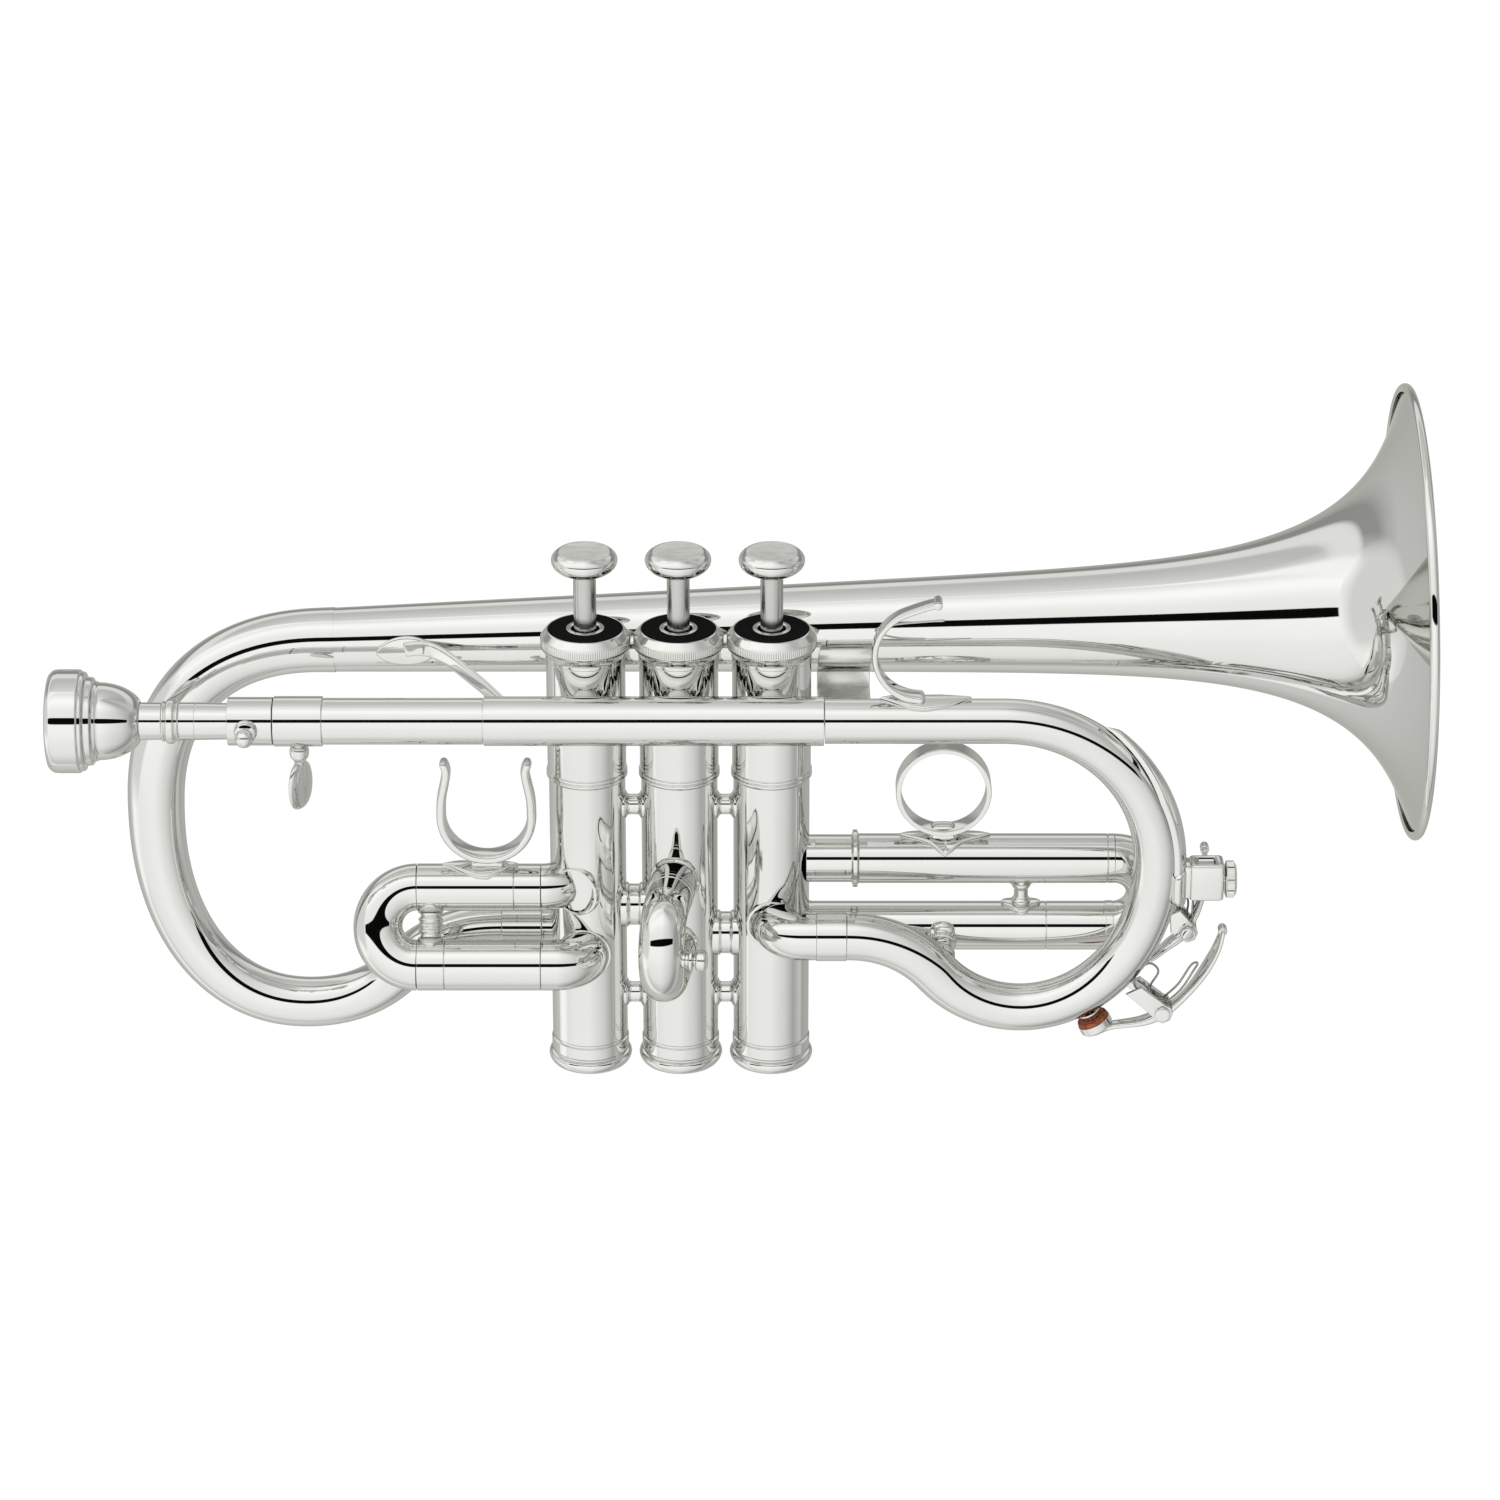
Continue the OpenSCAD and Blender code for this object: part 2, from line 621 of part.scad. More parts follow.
module piston_1() { piston(0); }
module piston_2() { piston(1); }
module piston_3() { piston(2); }

module stem(v) {
    top = button_z + button_h;
    color("silver") translate([valve_x[v], 0, 0]) {
        translate([0, 0, piston_top_z - 3]) cylinder(h = 3, r = piston_r - barrel_wall - 0.05);
        translate([0, 0, piston_top_z - eps]) cylinder(h = button_z - piston_top_z + 1, r = stem_r);
        rotate_extrude() polygon([
            [0, button_z], [3.7, button_z], [6.2, button_z + 0.9], [8.1, button_z + 2.5],
            [button_r, button_z + 4.1], [8.5, button_z + 5.3], [7.8, button_z + 6.4], [7.2, top],
            [6.95, top - 0.1], [6.95, top - 0.7], [0, top - 0.7]]);
    }
}

module stem_1() { stem(0); }
module stem_2() { stem(1); }
module stem_3() { stem(2); }

module pearl(v) {
    color([0.95, 0.95, 0.92]) translate([valve_x[v], 0, button_z + button_h - 0.7]) rotate_extrude()
        polygon([[0, 0], [6.9, 0], [6.9, 0.6], [5, 0.45], [0, 0.35]]);
}

module pearl_1() { pearl(0); }
module pearl_2() { pearl(1); }
module pearl_3() { pearl(2); }

module valve_spring(v) {
    z0 = barrel_z + guide_h + 1.1;
    z1 = piston_top_z - 3.6;
    turns = 7;
    steps = 14;
    coil = [for (i = [0:turns * steps]) let (a = 360 * i / steps)
        [valve_x[v] + 5.2 * cos(a), 5.2 * sin(a), mix(z0, z1, i / (turns * steps))]];
    color([0.6, 0.6, 0.6]) swept_wire(coil, 0.45, 5);
}

module valve_spring_1() { valve_spring(0); }
module valve_spring_2() { valve_spring(1); }
module valve_spring_3() { valve_spring(2); }

// ---------- first slide ----------

slide1_mid = (slide1_top + slide1_low) / 2;
slide1_top_seam = -44;
slide1_low_seam = -62.5;

module slide1_outer() {
    color("silver") {
        tube_x(slide1_top_seam, slide1_out, slide1_top[0], slide1_top[1], slide1_r, 4.8);
        tube_x(-66, slide1_top_seam + 1, slide1_top[0], slide1_top[1], 5.5, 4.8);
        tube_x(slide1_low_seam, slide1_out, slide1_low[0], slide1_low[1], slide1_r + 0.5, slide1_r - 0.05);
    }
}

module slide1_legs() {
    color("silver") {
        tube_x(slide1_seam_x, slide1_top_seam - 0.1, slide1_top[0], slide1_top[1], slide1_r, 5.5 + fit);
        tube_x(slide1_seam_x, slide1_low_seam - 0.1, slide1_low[0], slide1_low[1], slide1_r + 0.5, 5.7);
        tube_x(slide1_low_seam - 1, -40, slide1_low[0], slide1_low[1], slide1_r - 0.11, 5.7);
    }
}

module slide1_bow() {
    color("silver") translate([slide1_seam_x, slide1_mid[0], slide1_mid[1]]) rotate([90 - slide1_lean, 0, 0])
        rotate([0, 0, 90]) rotate_extrude(angle = 180) translate([slide1_bow_r, 0]) difference() {
            circle(slide1_r + 0.15);
            circle(slide1_r - tube_wall);
        }
}

module slide1_brace() {
    x = -66.4;
    color("silver") difference() {
        union() {
            baluster([x, slide1_low[0] + 2, slide1_low[1] + 4],
                [x, slide1_top[0] - 2, slide1_top[1] - 4], 2.1, 3.4);
            translate([x, slide1_mid[0], slide1_mid[1]]) rotate([-slide1_lean, 0, 0])
                cylinder(h = 1.6, r = 3, center = true);
        }
        tube_x(-75, -55, slide1_top[0], slide1_top[1], slide1_r, 1);
        tube_x(-75, -55, slide1_low[0], slide1_low[1], slide1_r + 0.5, 1);
    }
}

module thumb_saddle() {
    x = -51.1;
    z = slide1_top[1] + slide1_r + 14.9;
    r = saddle_r + 1.2;
    arm = [[0.9, 14.8], [1.6, 13.2], [1.2, 10.6], [0.2, 5]];
    thick = 2.6;
    cradle = concat([for (p = arm) [x - r + p[0], z + p[1]]], arc_points([x, z], r, 180, 360, 20),
        [for (i = [len(arm) - 1:-1:0]) [x + r - arm[i][0], z + arm[i][1]]]);
    color("silver") {
        upright(slide1_top[0], 6.4) polygon(strip_outline(cradle, thick));
        upright(slide1_top[0], 4.4) translate([x - 4, slide1_top[1] + slide1_r + 0.9]) square([8, 1.6]);
        saddle_foot(x - 3, slide1_top[0], slide1_top[1], slide1_r + 0.02, 17, 8, 0.9);
    }
}

// ---------- second slide ----------

module along_slide2() {
    rotate([0, 0, -90 - slide2_yaw]) children();
}

module slide2_outer() {
    color("silver") difference() {
        along_slide2() for (z = [slide2_z, slide2_z - slide2_gap]) {
            tube_x(7, slide2_seam, 0, z, slide2_r, slide2_r - 0.5);
        }
        casing_cores(casing_r);
    }
}

module slide2_legs() {
    color("silver") along_slide2() for (z = [slide2_z, slide2_z - slide2_gap]) {
        tube_x(11, slide2_bow, 0, z, slide2_r - 0.56, slide2_r - 1);
    }
}

module slide2_bow() {
    mid_z = slide2_z - slide2_gap / 2;
    color("silver") along_slide2() {
        for (z = [slide2_z, slide2_z - slide2_gap])
            tube_x(slide2_seam + 0.1, slide2_bow, 0, z, slide2_r, slide2_r - 0.54);
        translate([slide2_bow, 0, mid_z]) rotate([90, 0, 0]) rotate([0, 0, -90])
            rotate_extrude(angle = 180) translate([slide2_gap / 2, 0]) difference() {
                circle(slide2_r - 0.15);
                circle(slide2_r - 1);
            }
    }
}

module slide2_knob() {
    button_r = 2.8;
    x = slide2_bow + slide2_gap / 2;
    z = slide2_z - slide2_gap / 2;
    color("silver") along_slide2() {
        difference() {
            rod([x, slide2_r - 1.2, z], [x, slide2_r + 2.2, z], 2.3);
            translate([slide2_bow, 0, z]) rotate([90, 0, 0]) rotate([0, 0, -90])
                rotate_extrude(angle = 180) translate([slide2_gap / 2, 0]) circle(slide2_r - 0.13);
        }
        rod([x, slide2_r + 2.1, z], [x, slide2_r + 3.2, z], 1.2);
        rod([x, slide2_r + 3.1, z], [x, slide2_r + 6.2, z], button_r);
    }
}

// ---------- third slide ----------

module slide3_outer() {
    x0 = valve_x[2] + 7;
    color("silver") {
        difference() {
            union() {
                tube_x(x0, slide3_ring_x, 0, slide3_top, slide3_r - 0.25, slide3_r - 0.6);
                tube_x(slide3_ring_x - 0.1, slide3_seam_x, 0, slide3_top, slide3_r, slide3_r - 0.6);
                tube_x(slide3_ring_x - 0.7, slide3_ring_x + 0.7, 0, slide3_top, slide3_r + 1.3,
                    slide3_r - 0.6);
            }
            casing_cores(casing_r);
        }
        difference() {
            tube_x(x0, slide3_low_seam, 0, slide3_low, slide3_low_r, slide3_low_r - 0.55);
            casing_cores(casing_r);
        }
    }
}

module slide3_legs() {
    color("silver") {
        tube_x(58, slide3_bow_x, 0, slide3_top, slide3_r - 0.66, slide3_r - 1.1);
        tube_x(48, slide3_bow_x, 0, slide3_low, slide3_low_r - 0.61, slide3_low_r - 1.05);
    }
}

module slide3_bow() {
    color("silver") {
        tube_x(slide3_seam_x + 0.1, slide3_bow_x, 0, slide3_top, slide3_r, slide3_r - 0.65);
        tube_x(slide3_low_seam + 0.1, slide3_bow_x, 0, slide3_low, slide3_low_r, slide3_low_r - 0.6);
        translate([slide3_bow_x, 0, slide3_low + slide3_gap / 2]) rotate([90, 0, 0]) rotate([0, 0, -90])
            rotate_extrude(angle = 180) translate([slide3_gap / 2, 0]) difference() {
                circle(slide3_r);
                circle(slide3_r - 0.65);
            }
    }
}

module finger_ring() {
    x = 70.3;
    z = slide3_top + slide3_r + ring_r + 2.6;
    color("silver") {
        translate([x, 3.2, z]) rotate([90, 0, 0]) difference() {
            cylinder(h = 6.4, r = ring_r + 1.4);
            translate([0, 0, -eps]) cylinder(h = 6.4 + 2 * eps, r = ring_r);
        }
        difference() {
            translate([x - 3.6, -2.4, slide3_top + slide3_r + 0.9]) cube([7.2, 4.8, 1.8]);
            translate([x, 3.3, z]) rotate([90, 0, 0]) cylinder(h = 6.6, r = ring_r + 1.4);
        }
        saddle_foot(x + 0.4, 0, slide3_top, slide3_r + 0.02, 24, 9, 0.9);
    }
}

// ---------- water keys ----------

// Puts a key's own frame on the tube: origin on the tube's axis, -Z out through the nipple
key1_at = [106.6, lead_y, 28.7];
key1_turn = 27;
key1_hinge = [17.8, -14.2];
key1_arm = [[-1, -12.6], [5, -12.9], [11, -14.9], [17.8, -14.8], [25, -13.8], [32, -10.6], [38.6, -5.4],
    [43.1, 0.4]];
key1_ear = [[8.4, -4.9], [16.4, -3.3], [19.6, -13.2], [17.8, -16], [16, -15.4]];
key2_at = [118.3, 0, 40.5];
key2_turn = 12;
key2_hinge = [17.5, -4.6];
key2_arm = [[-1, -12.6], [4.6, -12.4], [10, -9.4], [16.6, -5.6], [21.4, 0.6], [24.6, 8], [26.3, 17.8]];
key2_ear = [[11.4, -3.4], [14.4, 1.2], [19.2, -3.6], [18.2, -6.4], [15.8, -6.2]];
cork_n = [7.9, 10.6];

module on_tube(at, turn) {
    translate(at) rotate([0, -turn, 0]) children();
}

module key_pivot(hinge, r, w) {
    translate([hinge[0], w / 2, hinge[1]]) rotate([90, 0, 0]) cylinder(h = w, r = r);
}

module key_saddle(ear, hinge, tube_r) {
    difference() {
        union() {
            for (y = [-1, 1]) upright(y * (key_w / 2 + 0.8), 1.2) polygon(ear);
            for (y = [-1, 1]) translate([hinge[0], y * (key_w / 2 + 0.8) + 0.6, hinge[1]]) rotate([90, 0, 0])
                cylinder(h = 1.2, r = 2.1);
        }
        key_pivot(hinge, 0.9, key_w + 6);
    }
    key_pivot(hinge, 0.85, key_w + 3.6);
    translate([hinge[0], -key_w / 2 - 1.5, hinge[1]]) rotate([90, 0, 0]) cylinder(h = 0.9, r = 1.5);
    difference() {
        translate([0, 0, -cork_n[0]]) cylinder(h = cork_n[0] - tube_r - 0.08, r = 2.5);
        translate([0, 0, -cork_n[0] - 1]) cylinder(h = cork_n[0], r = 1.3);
    }
}

module key_lever(arm, hinge) {
    difference() {
        union() {
            upright(0, key_w) polygon(strip_outline(arm, 1.7));
            key_pivot(hinge, 2, key_w);
            translate([0, 0, -cork_n[1] - 1.4]) cylinder(h = 2.9, r = 4.5);
        }
        translate([0, 0, -cork_n[1] - 0.05]) cylinder(h = 5, r = 4.15);
        key_pivot(hinge, 0.92, key_w + 1);
    }
}

module key_cork() {
    translate([0, 0, -cork_n[1]]) cylinder(h = cork_n[1] - cork_n[0] - 0.04, r = 4.05);
}

module key_spring(hinge) {
    y = key_w / 2 + 2;
    for (side = [-1, 1]) translate([hinge[0], side * y, hinge[1]]) rotate([90, 0, 0])
        rotate_extrude() translate([1.9, 0]) circle(0.3);
    rod([hinge[0] + 0.4, -y, hinge[1] + 2.4], [hinge[0] - 3.4, -y, hinge[1] + 7], 0.3);
}

module key1_saddle() {
    color("silver") on_tube(key1_at, key1_turn) key_saddle(key1_ear, key1_hinge, front_low_r);
}

module key1_lever() {
    color("silver") on_tube(key1_at, key1_turn) key_lever(key1_arm, key1_hinge);
}

module key1_cork() {
    color([0.55, 0.3, 0.2]) on_tube(key1_at, key1_turn) key_cork();
}

module key1_spring() {
    color([0.6, 0.6, 0.6]) on_tube(key1_at, key1_turn) key_spring(key1_hinge);
}

module key2_saddle() {
    color("silver") on_tube(key2_at, key2_turn) key_saddle(key2_ear, key2_hinge, slide3_r);
}

module key2_lever() {
    color("silver") on_tube(key2_at, key2_turn) key_lever(key2_arm, key2_hinge);
}

module key2_cork() {
    color([0.55, 0.3, 0.2]) on_tube(key2_at, key2_turn) key_cork();
}

module key2_spring() {
    color([0.6, 0.6, 0.6]) on_tube(key2_at, key2_turn) key_spring(key2_hinge);
}

// ---------- lyre holder ----------

lyre_x = 135;
lyre_z = [57.6, 67.9];
lyre_size = 9;
lyre_slot = [4.8, 4.4];

module lyre_box() {
    mid = lyre_x + lyre_size / 2;
    color("silver") {
        difference() {
            translate([lyre_x, lead_y - 3.7, lyre_z[0]]) cube([lyre_size, 7.4, lyre_z[1] - lyre_z[0]]);
            translate([mid - lyre_slot[0] / 2, lead_y - lyre_slot[1] / 2, lyre_z[0] - 1])
                cube([lyre_slot[0], lyre_slot[1], 20]);
            rod([mid, lead_y, 62.4], [lyre_x + lyre_size + 1, lead_y, 62.4], 1.28);
        }
        translate([lyre_x - 1.9, lead_y - 4, 55.6]) cube([1.9, 8, 11.2]);
    }
}

module lyre_screw() {
    x1 = lyre_x + lyre_size;
    color("silver") {
        rod([x1 - 1.9, lead_y, 62.4], [x1 + 0.4, lead_y, 62.4], 1.2);
        translate([x1 + 0.3, lead_y, 62.4]) rotate([0, 90, 0]) rotate_extrude() polygon([
            [0, 0], [4.3, 0], [4.7, 0.5], [4.7, 2.4], [4.2, 3], [0, 3.1]]);
    }
}

bell();
bell_crook();
crook_ferrules();
port_knuckles();
bell_braces();
mouthpipe();
lock_ring();
thumb_screw();
leadpipe_sleeve();
front_crook();
crook_guard();
pinky_hook();
casing_1();
casing_2();
casing_3();
valve_tubes();
braces();
top_caps();
cap_felts();
bottom_caps();
valve_guides();
piston_1();
piston_2();
piston_3();
stem_1();
stem_2();
stem_3();
pearl_1();
pearl_2();
pearl_3();
valve_spring_1();
valve_spring_2();
valve_spring_3();
slide1_outer();
slide1_legs();
slide1_bow();
slide1_brace();
thumb_saddle();
slide2_outer();
slide2_legs();
slide2_bow();
slide2_knob();
slide3_outer();
slide3_legs();
slide3_bow();
finger_ring();
key1_saddle();
key1_lever();
key1_cork();
key1_spring();
key2_saddle();
key2_lever();
key2_cork();
key2_spring();
lyre_box();
lyre_screw();
mouthpiece();
tuning_shank();
shank_knob();
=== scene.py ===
import json
from math import atan, atan2, copysign, cos, degrees, exp, pi, radians, sin, sqrt, tan

import bmesh
import bpy
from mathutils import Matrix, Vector

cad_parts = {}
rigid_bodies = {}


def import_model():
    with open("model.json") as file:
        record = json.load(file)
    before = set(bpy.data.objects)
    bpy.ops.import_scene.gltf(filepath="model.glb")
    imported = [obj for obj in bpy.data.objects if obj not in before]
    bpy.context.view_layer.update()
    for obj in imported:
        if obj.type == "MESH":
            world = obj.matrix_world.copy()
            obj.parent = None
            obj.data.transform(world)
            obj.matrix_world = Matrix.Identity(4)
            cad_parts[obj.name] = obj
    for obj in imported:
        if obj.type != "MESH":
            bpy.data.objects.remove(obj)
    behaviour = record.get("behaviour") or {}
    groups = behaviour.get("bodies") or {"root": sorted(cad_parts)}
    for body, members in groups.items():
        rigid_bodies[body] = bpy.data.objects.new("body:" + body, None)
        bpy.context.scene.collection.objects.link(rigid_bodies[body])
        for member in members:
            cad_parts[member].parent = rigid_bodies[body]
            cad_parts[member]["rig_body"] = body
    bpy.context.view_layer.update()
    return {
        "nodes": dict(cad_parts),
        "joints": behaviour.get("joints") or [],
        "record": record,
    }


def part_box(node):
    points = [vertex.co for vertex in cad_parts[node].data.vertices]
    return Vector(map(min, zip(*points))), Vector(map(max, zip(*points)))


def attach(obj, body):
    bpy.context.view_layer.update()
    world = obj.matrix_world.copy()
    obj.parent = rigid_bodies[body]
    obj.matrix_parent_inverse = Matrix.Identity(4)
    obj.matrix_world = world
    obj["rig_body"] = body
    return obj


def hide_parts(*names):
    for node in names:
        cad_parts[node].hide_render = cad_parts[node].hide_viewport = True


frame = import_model()
record = frame["record"]
MM = 0.001
X = Vector((1, 0, 0))
Y = Vector((0, 1, 0))
Z = Vector((0, 0, 1))


# ---------------------------------------------------------------- measuring

def box(node):
    """Lowest and highest corners of a CAD node, in millimetres."""
    low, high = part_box(node)
    return low / MM, high / MM


def centre(node):
    low, high = box(node)
    return (low + high) / 2


def body_of(node):
    return frame["nodes"][node]["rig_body"]


def mount(name):
    found = [m for m in record["mounts"] if m["name"] == name][0]
    return Vector(found["pos_m"]) / MM, Vector(found["axis"]).normalized()


def joint(name):
    return [j for j in frame["joints"] if j["name"] == name][0]


# ---------------------------------------------------------------- mesh tools

def mix(a, b, t):
    return a + (b - a) * t


def ease(t):
    t = min(1, max(0, t))
    return t * t * (3 - 2 * t)


def around(n):
    """n angles spread evenly over a full turn."""
    return [2 * pi * k / n for k in range(n)]


def ring(r, n):
    return [(r * cos(a), r * sin(a)) for a in around(n)]


def squared(value, power):
    """A sine or cosine that makes a rounder or squarer outline than a circle's."""
    return copysign(abs(value) ** (2 / power), value)


def rounded(points, radius=0.25, steps=4):
    """A lathe outline with every corner rounded and held flat on both sides of the round."""
    out = []
    last = len(points) - 1
    for i, p in enumerate(points):
        here = Vector(p[:2])
        if i in (0, last):
            out.append(here)
            continue
        before = Vector(points[i - 1][:2]) - here
        after = Vector(points[i + 1][:2]) - here
        want = p[2] if len(p) > 2 else radius
        size = min(want, before.length * 0.42, after.length * 0.42)
        if size < 1e-4:
            out.append(here)
            continue
        a = here + before.normalized() * size
        b = here + after.normalized() * size
        out.append(a + before.normalized() * size * 0.25)
        for k in range(steps + 1):
            t = k / steps
            out.append(a * (1 - t) ** 2 + here * 2 * t * (1 - t) + b * t ** 2)
        out.append(b + after.normalized() * size * 0.25)
    return [(q.x, q.y) for q in out]


class Shape:
    def __init__(self):
        self.verts = []
        self.faces = []
        self.mats = []

    def add(self, verts, faces, mat=0):
        start = len(self.verts)
        self.verts += [Vector(v) for v in verts]
        self.faces += [tuple(start + i for i in f) for f in faces]
        self.mats += [mat] * len(faces)

    def grid(self, rows, wrap_u=False, wrap_v=True, mat=0):
        """A skin over rows of points. wrap_v closes each row, wrap_u joins the last row to the first."""
        n = len(rows[0])
        faces = []
        for i in range(len(rows) - (0 if wrap_u else 1)):
            j = (i + 1) % len(rows)
            for k in range(n if wrap_v else n - 1):
                m = (k + 1) % n
                faces.append((i * n + k, i * n + m, j * n + m, j * n + k))
        self.add([p for row in rows for p in row], faces, mat)

    def fan(self, row, tip, mat=0):
        n = len(row)
        self.add(list(row) + [tip], [(k, (k + 1) % n, n) for k in range(n)], mat)

    def lathe(self, outline, origin=(0, 0, 0), axis=Z, seg=96, closed=False, mat=0):
        """Turns (distance along the axis, radius) points about an axis."""
        w = Vector(axis).normalized()
        u = w.cross(Y if abs(w.y) < 0.9 else X).normalized()
        v = w.cross(u)
        rows = []
        for s, r in outline:
            c = Vector(origin) + w * s
            rows.append([c + (u * cos(a) + v * sin(a)) * max(r, 0) for a in around(seg)])
        start, end = 0, len(rows)
        if not closed and outline[0][1] < 1e-3:
            self.fan(rows[1], rows[0][0], mat)
            start = 1
        if not closed and outline[-1][1] < 1e-3:
            self.fan(rows[-2], rows[-1][0], mat)
            end -= 1
        self.grid(rows[start:end], wrap_u=closed, mat=mat)

    def turned(self, points, radius, origin, axis=Z, seg=96, closed=False, mat=0):
        """A turned part whose corners are rounded."""
        self.lathe(rounded(points, radius), origin, axis, seg, closed, mat)

    def pipe(self, a, b, r, bore, lip=0.18, seg=72):
        """A straight tube from point a to point b with softened ends."""
        a, b = Vector(a), Vector(b)
        length = (b - a).length
        outline = rounded([(length / 2, r), (length, r), (length, bore), (length / 2, bore)], lip)
        outline += rounded([(length / 2, bore), (0, bore), (0, r), (length / 2, r)], lip)[1:-1]
        self.lathe(outline, a, b - a, seg, closed=True)

    def sweep(self, path, section, ref, capped=True):
        """Draws a section, given per step as (across, up) points, along a path."""
        rows = []
        frames = []
        n = len(path)
        for i in range(n):
            t = (path[min(i + 1, n - 1)] - path[max(i - 1, 0)]).normalized()
            side = ref.cross(t).normalized()
            over = t.cross(side)
            frames.append((t, side, over))
            rows.append([path[i] + over * p[0] + side * p[1] for p in section(i / (n - 1))])
        self.grid(rows)
        if capped:
            for row in (rows[0], rows[-1]):
                self.fan(row, sum(row, Vector()) / len(row))
        return rows, frames

    def tube(self, path, radius, wall, ref=Y, seg=64):
        """A bent tube with a real bore. radius is a function of the share of the way along."""
        outer, _ = self.sweep(path, lambda t: ring(radius(t), seg), ref, capped=False)
        inner, _ = self.sweep(path, lambda t: ring(radius(t) - wall, seg), ref, capped=False)
        for i in (0, -1):
            self.grid([outer[i], inner[i]])

    def ribbon(self, path, width, thick, ref=Y, power=4, seg=28):
        """A flat bar with rounded edges and ends. width runs along ref, and both sizes may vary."""
        def flat(a, b):
            turns = [2 * pi * (k + 0.5) / seg for k in range(seg)]
            return [(a * squared(cos(t), power), b * squared(sin(t), power)) for t in turns]
        w = width if callable(width) else (lambda t: width)
        h = thick if callable(thick) else (lambda t: thick)
        rows, frames = self.sweep(path, lambda t: flat(w(t) / 2, h(t) / 2), ref, capped=False)
        for i, way, t in ((0, -1, 0), (-1, 1, 1)):
            tangent, side, over = frames[i]
            a, b = w(t) / 2, h(t) / 2
            last = rows[i]
            for f in (0.3, 0.6, 0.82, 0.95, 1.0):
                k = sqrt(max(0, 1 - f * f))
                c = path[i] + tangent * way * b * f
                row = [c + over * p[0] + side * p[1] for p in flat(max(a - b * (1 - k), 0.02),
                    max(b * k, 0.01))]
                self.grid([last, row])
                last = row
            self.fan(last, path[i] + tangent * way * b)

    def pad(self, outline, at, radius, thick, along=X, out=Z, edge=0.55, sink=0.25):
        """A plate wrapped over a round tube. outline is (along, around) points, at is on the tube's axis."""
        along = Vector(along).normalized()
        out = Vector(out).normalized()
        side = along.cross(out)
        mid = Vector((sum(p[0] for p in outline) / len(outline), sum(p[1] for p in outline) / len(outline)))

        def place(p, h):
            a = p[1] / radius
            return Vector(at) + along * p[0] + (out * cos(a) + side * sin(a)) * (radius + h)
        rows = []
        reach = max((Vector(p) - mid).length for p in outline)
        for inset, h in ((0, -sink), (0, thick * 0.55), (edge * 0.3, thick * 0.85), (edge, thick),
                (edge * 1.5, thick), (reach * 0.5, thick), (reach * 0.8, thick)):
            row = []
            for p in outline:
                d = Vector(p) - mid
                k = max(0.02, 1 - inset / max(d.length, 0.1))
                row.append(place(mid + d * k, h))
            rows.append(row)
        self.grid(rows)
        self.fan(rows[-1], place(mid, thick))

    def block(self, low, high, bevel=0.3):
        """A box with rounded edges."""
        bm = bmesh.new()
        bmesh.ops.create_cube(bm, size=1)
        size = Vector(high) - Vector(low)
        mid = (Vector(high) + Vector(low)) / 2
        for v in bm.verts:
            v.co = Vector((v.co.x * size.x, v.co.y * size.y, v.co.z * size.z)) + mid
        self.add_bevelled(bm, bm.edges[:], bevel, Vector)

    def add_bevelled(self, bm, edges, bevel, place, mat=0):
        bmesh.ops.bevel(bm, geom=edges, offset=bevel, segments=3, profile=0.5, affect="EDGES")
        bm.verts.index_update()
        self.add([place(v.co) for v in bm.verts], [[v.index for v in f.verts] for f in bm.faces], mat)
        bm.free()

    def slab(self, outline, thick, place, bevel=0.25, mat=0):
        """A flat plate from a (u, v) outline. place turns (u, v, height) into a point."""
        bm = bmesh.new()
        lower = [bm.verts.new((p[0], p[1], -thick / 2)) for p in outline]
        face = bm.faces.new(lower)
        made = bmesh.ops.extrude_face_region(bm, geom=[face])
        for v in made["geom"]:
            if isinstance(v, bmesh.types.BMVert):
                v.co.z = thick / 2
        bmesh.ops.recalc_face_normals(bm, faces=bm.faces[:])
        rim = [e for e in bm.edges if abs(e.verts[0].co.z - e.verts[1].co.z) < 1e-6]
        self.add_bevelled(bm, rim, bevel, lambda co: place(*co), mat)

    def make(self, name, node, *materials, slot="silver_plate", sharp=50):
        """Puts the piece in place of its CAD node. Mirror silver is meant where no material is given."""
        mesh = bpy.data.meshes.new(name)
        mesh.from_pydata([tuple(v * MM) for v in self.verts], [], self.faces)
        mesh.polygons.foreach_set("material_index", self.mats)
        bm = bmesh.new()
        bm.from_mesh(mesh)
        bmesh.ops.remove_doubles(bm, verts=bm.verts[:], dist=2e-7)
        bmesh.ops.recalc_face_normals(bm, faces=bm.faces[:])
        bm.to_mesh(mesh)
        bm.free()
        mesh.shade_smooth()
        mesh.set_sharp_from_angle(angle=radians(sharp))
        for m in materials or (silver,):
            mesh.materials.append(m)
        made = bpy.data.objects.new(name, mesh)
        bpy.context.scene.collection.objects.link(made)
        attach(made, body_of(node))
        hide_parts(node)


def arc(mid, r, a0, a1, n, u=X, v=Z):
    """Points of an arc in the plane of u and v."""
    return [Vector(mid) + (u * cos(radians(mix(a0, a1, i / n))) + v * sin(radians(mix(a0, a1, i / n)))) * r
        for i in range(n + 1)]


def half_turn(mid, up, out, r):
    """The centre line of a slide's bow, from its upper leg to its lower one."""
    return [mid + (up * cos(a) + out * sin(a)) * r for a in (pi * i / 90 for i in range(91))]


def mirrored(half, length):
    """An outline whose second half repeats the first one backwards."""
    return half + [(length - p[0], *p[1:]) for p in reversed(half)]


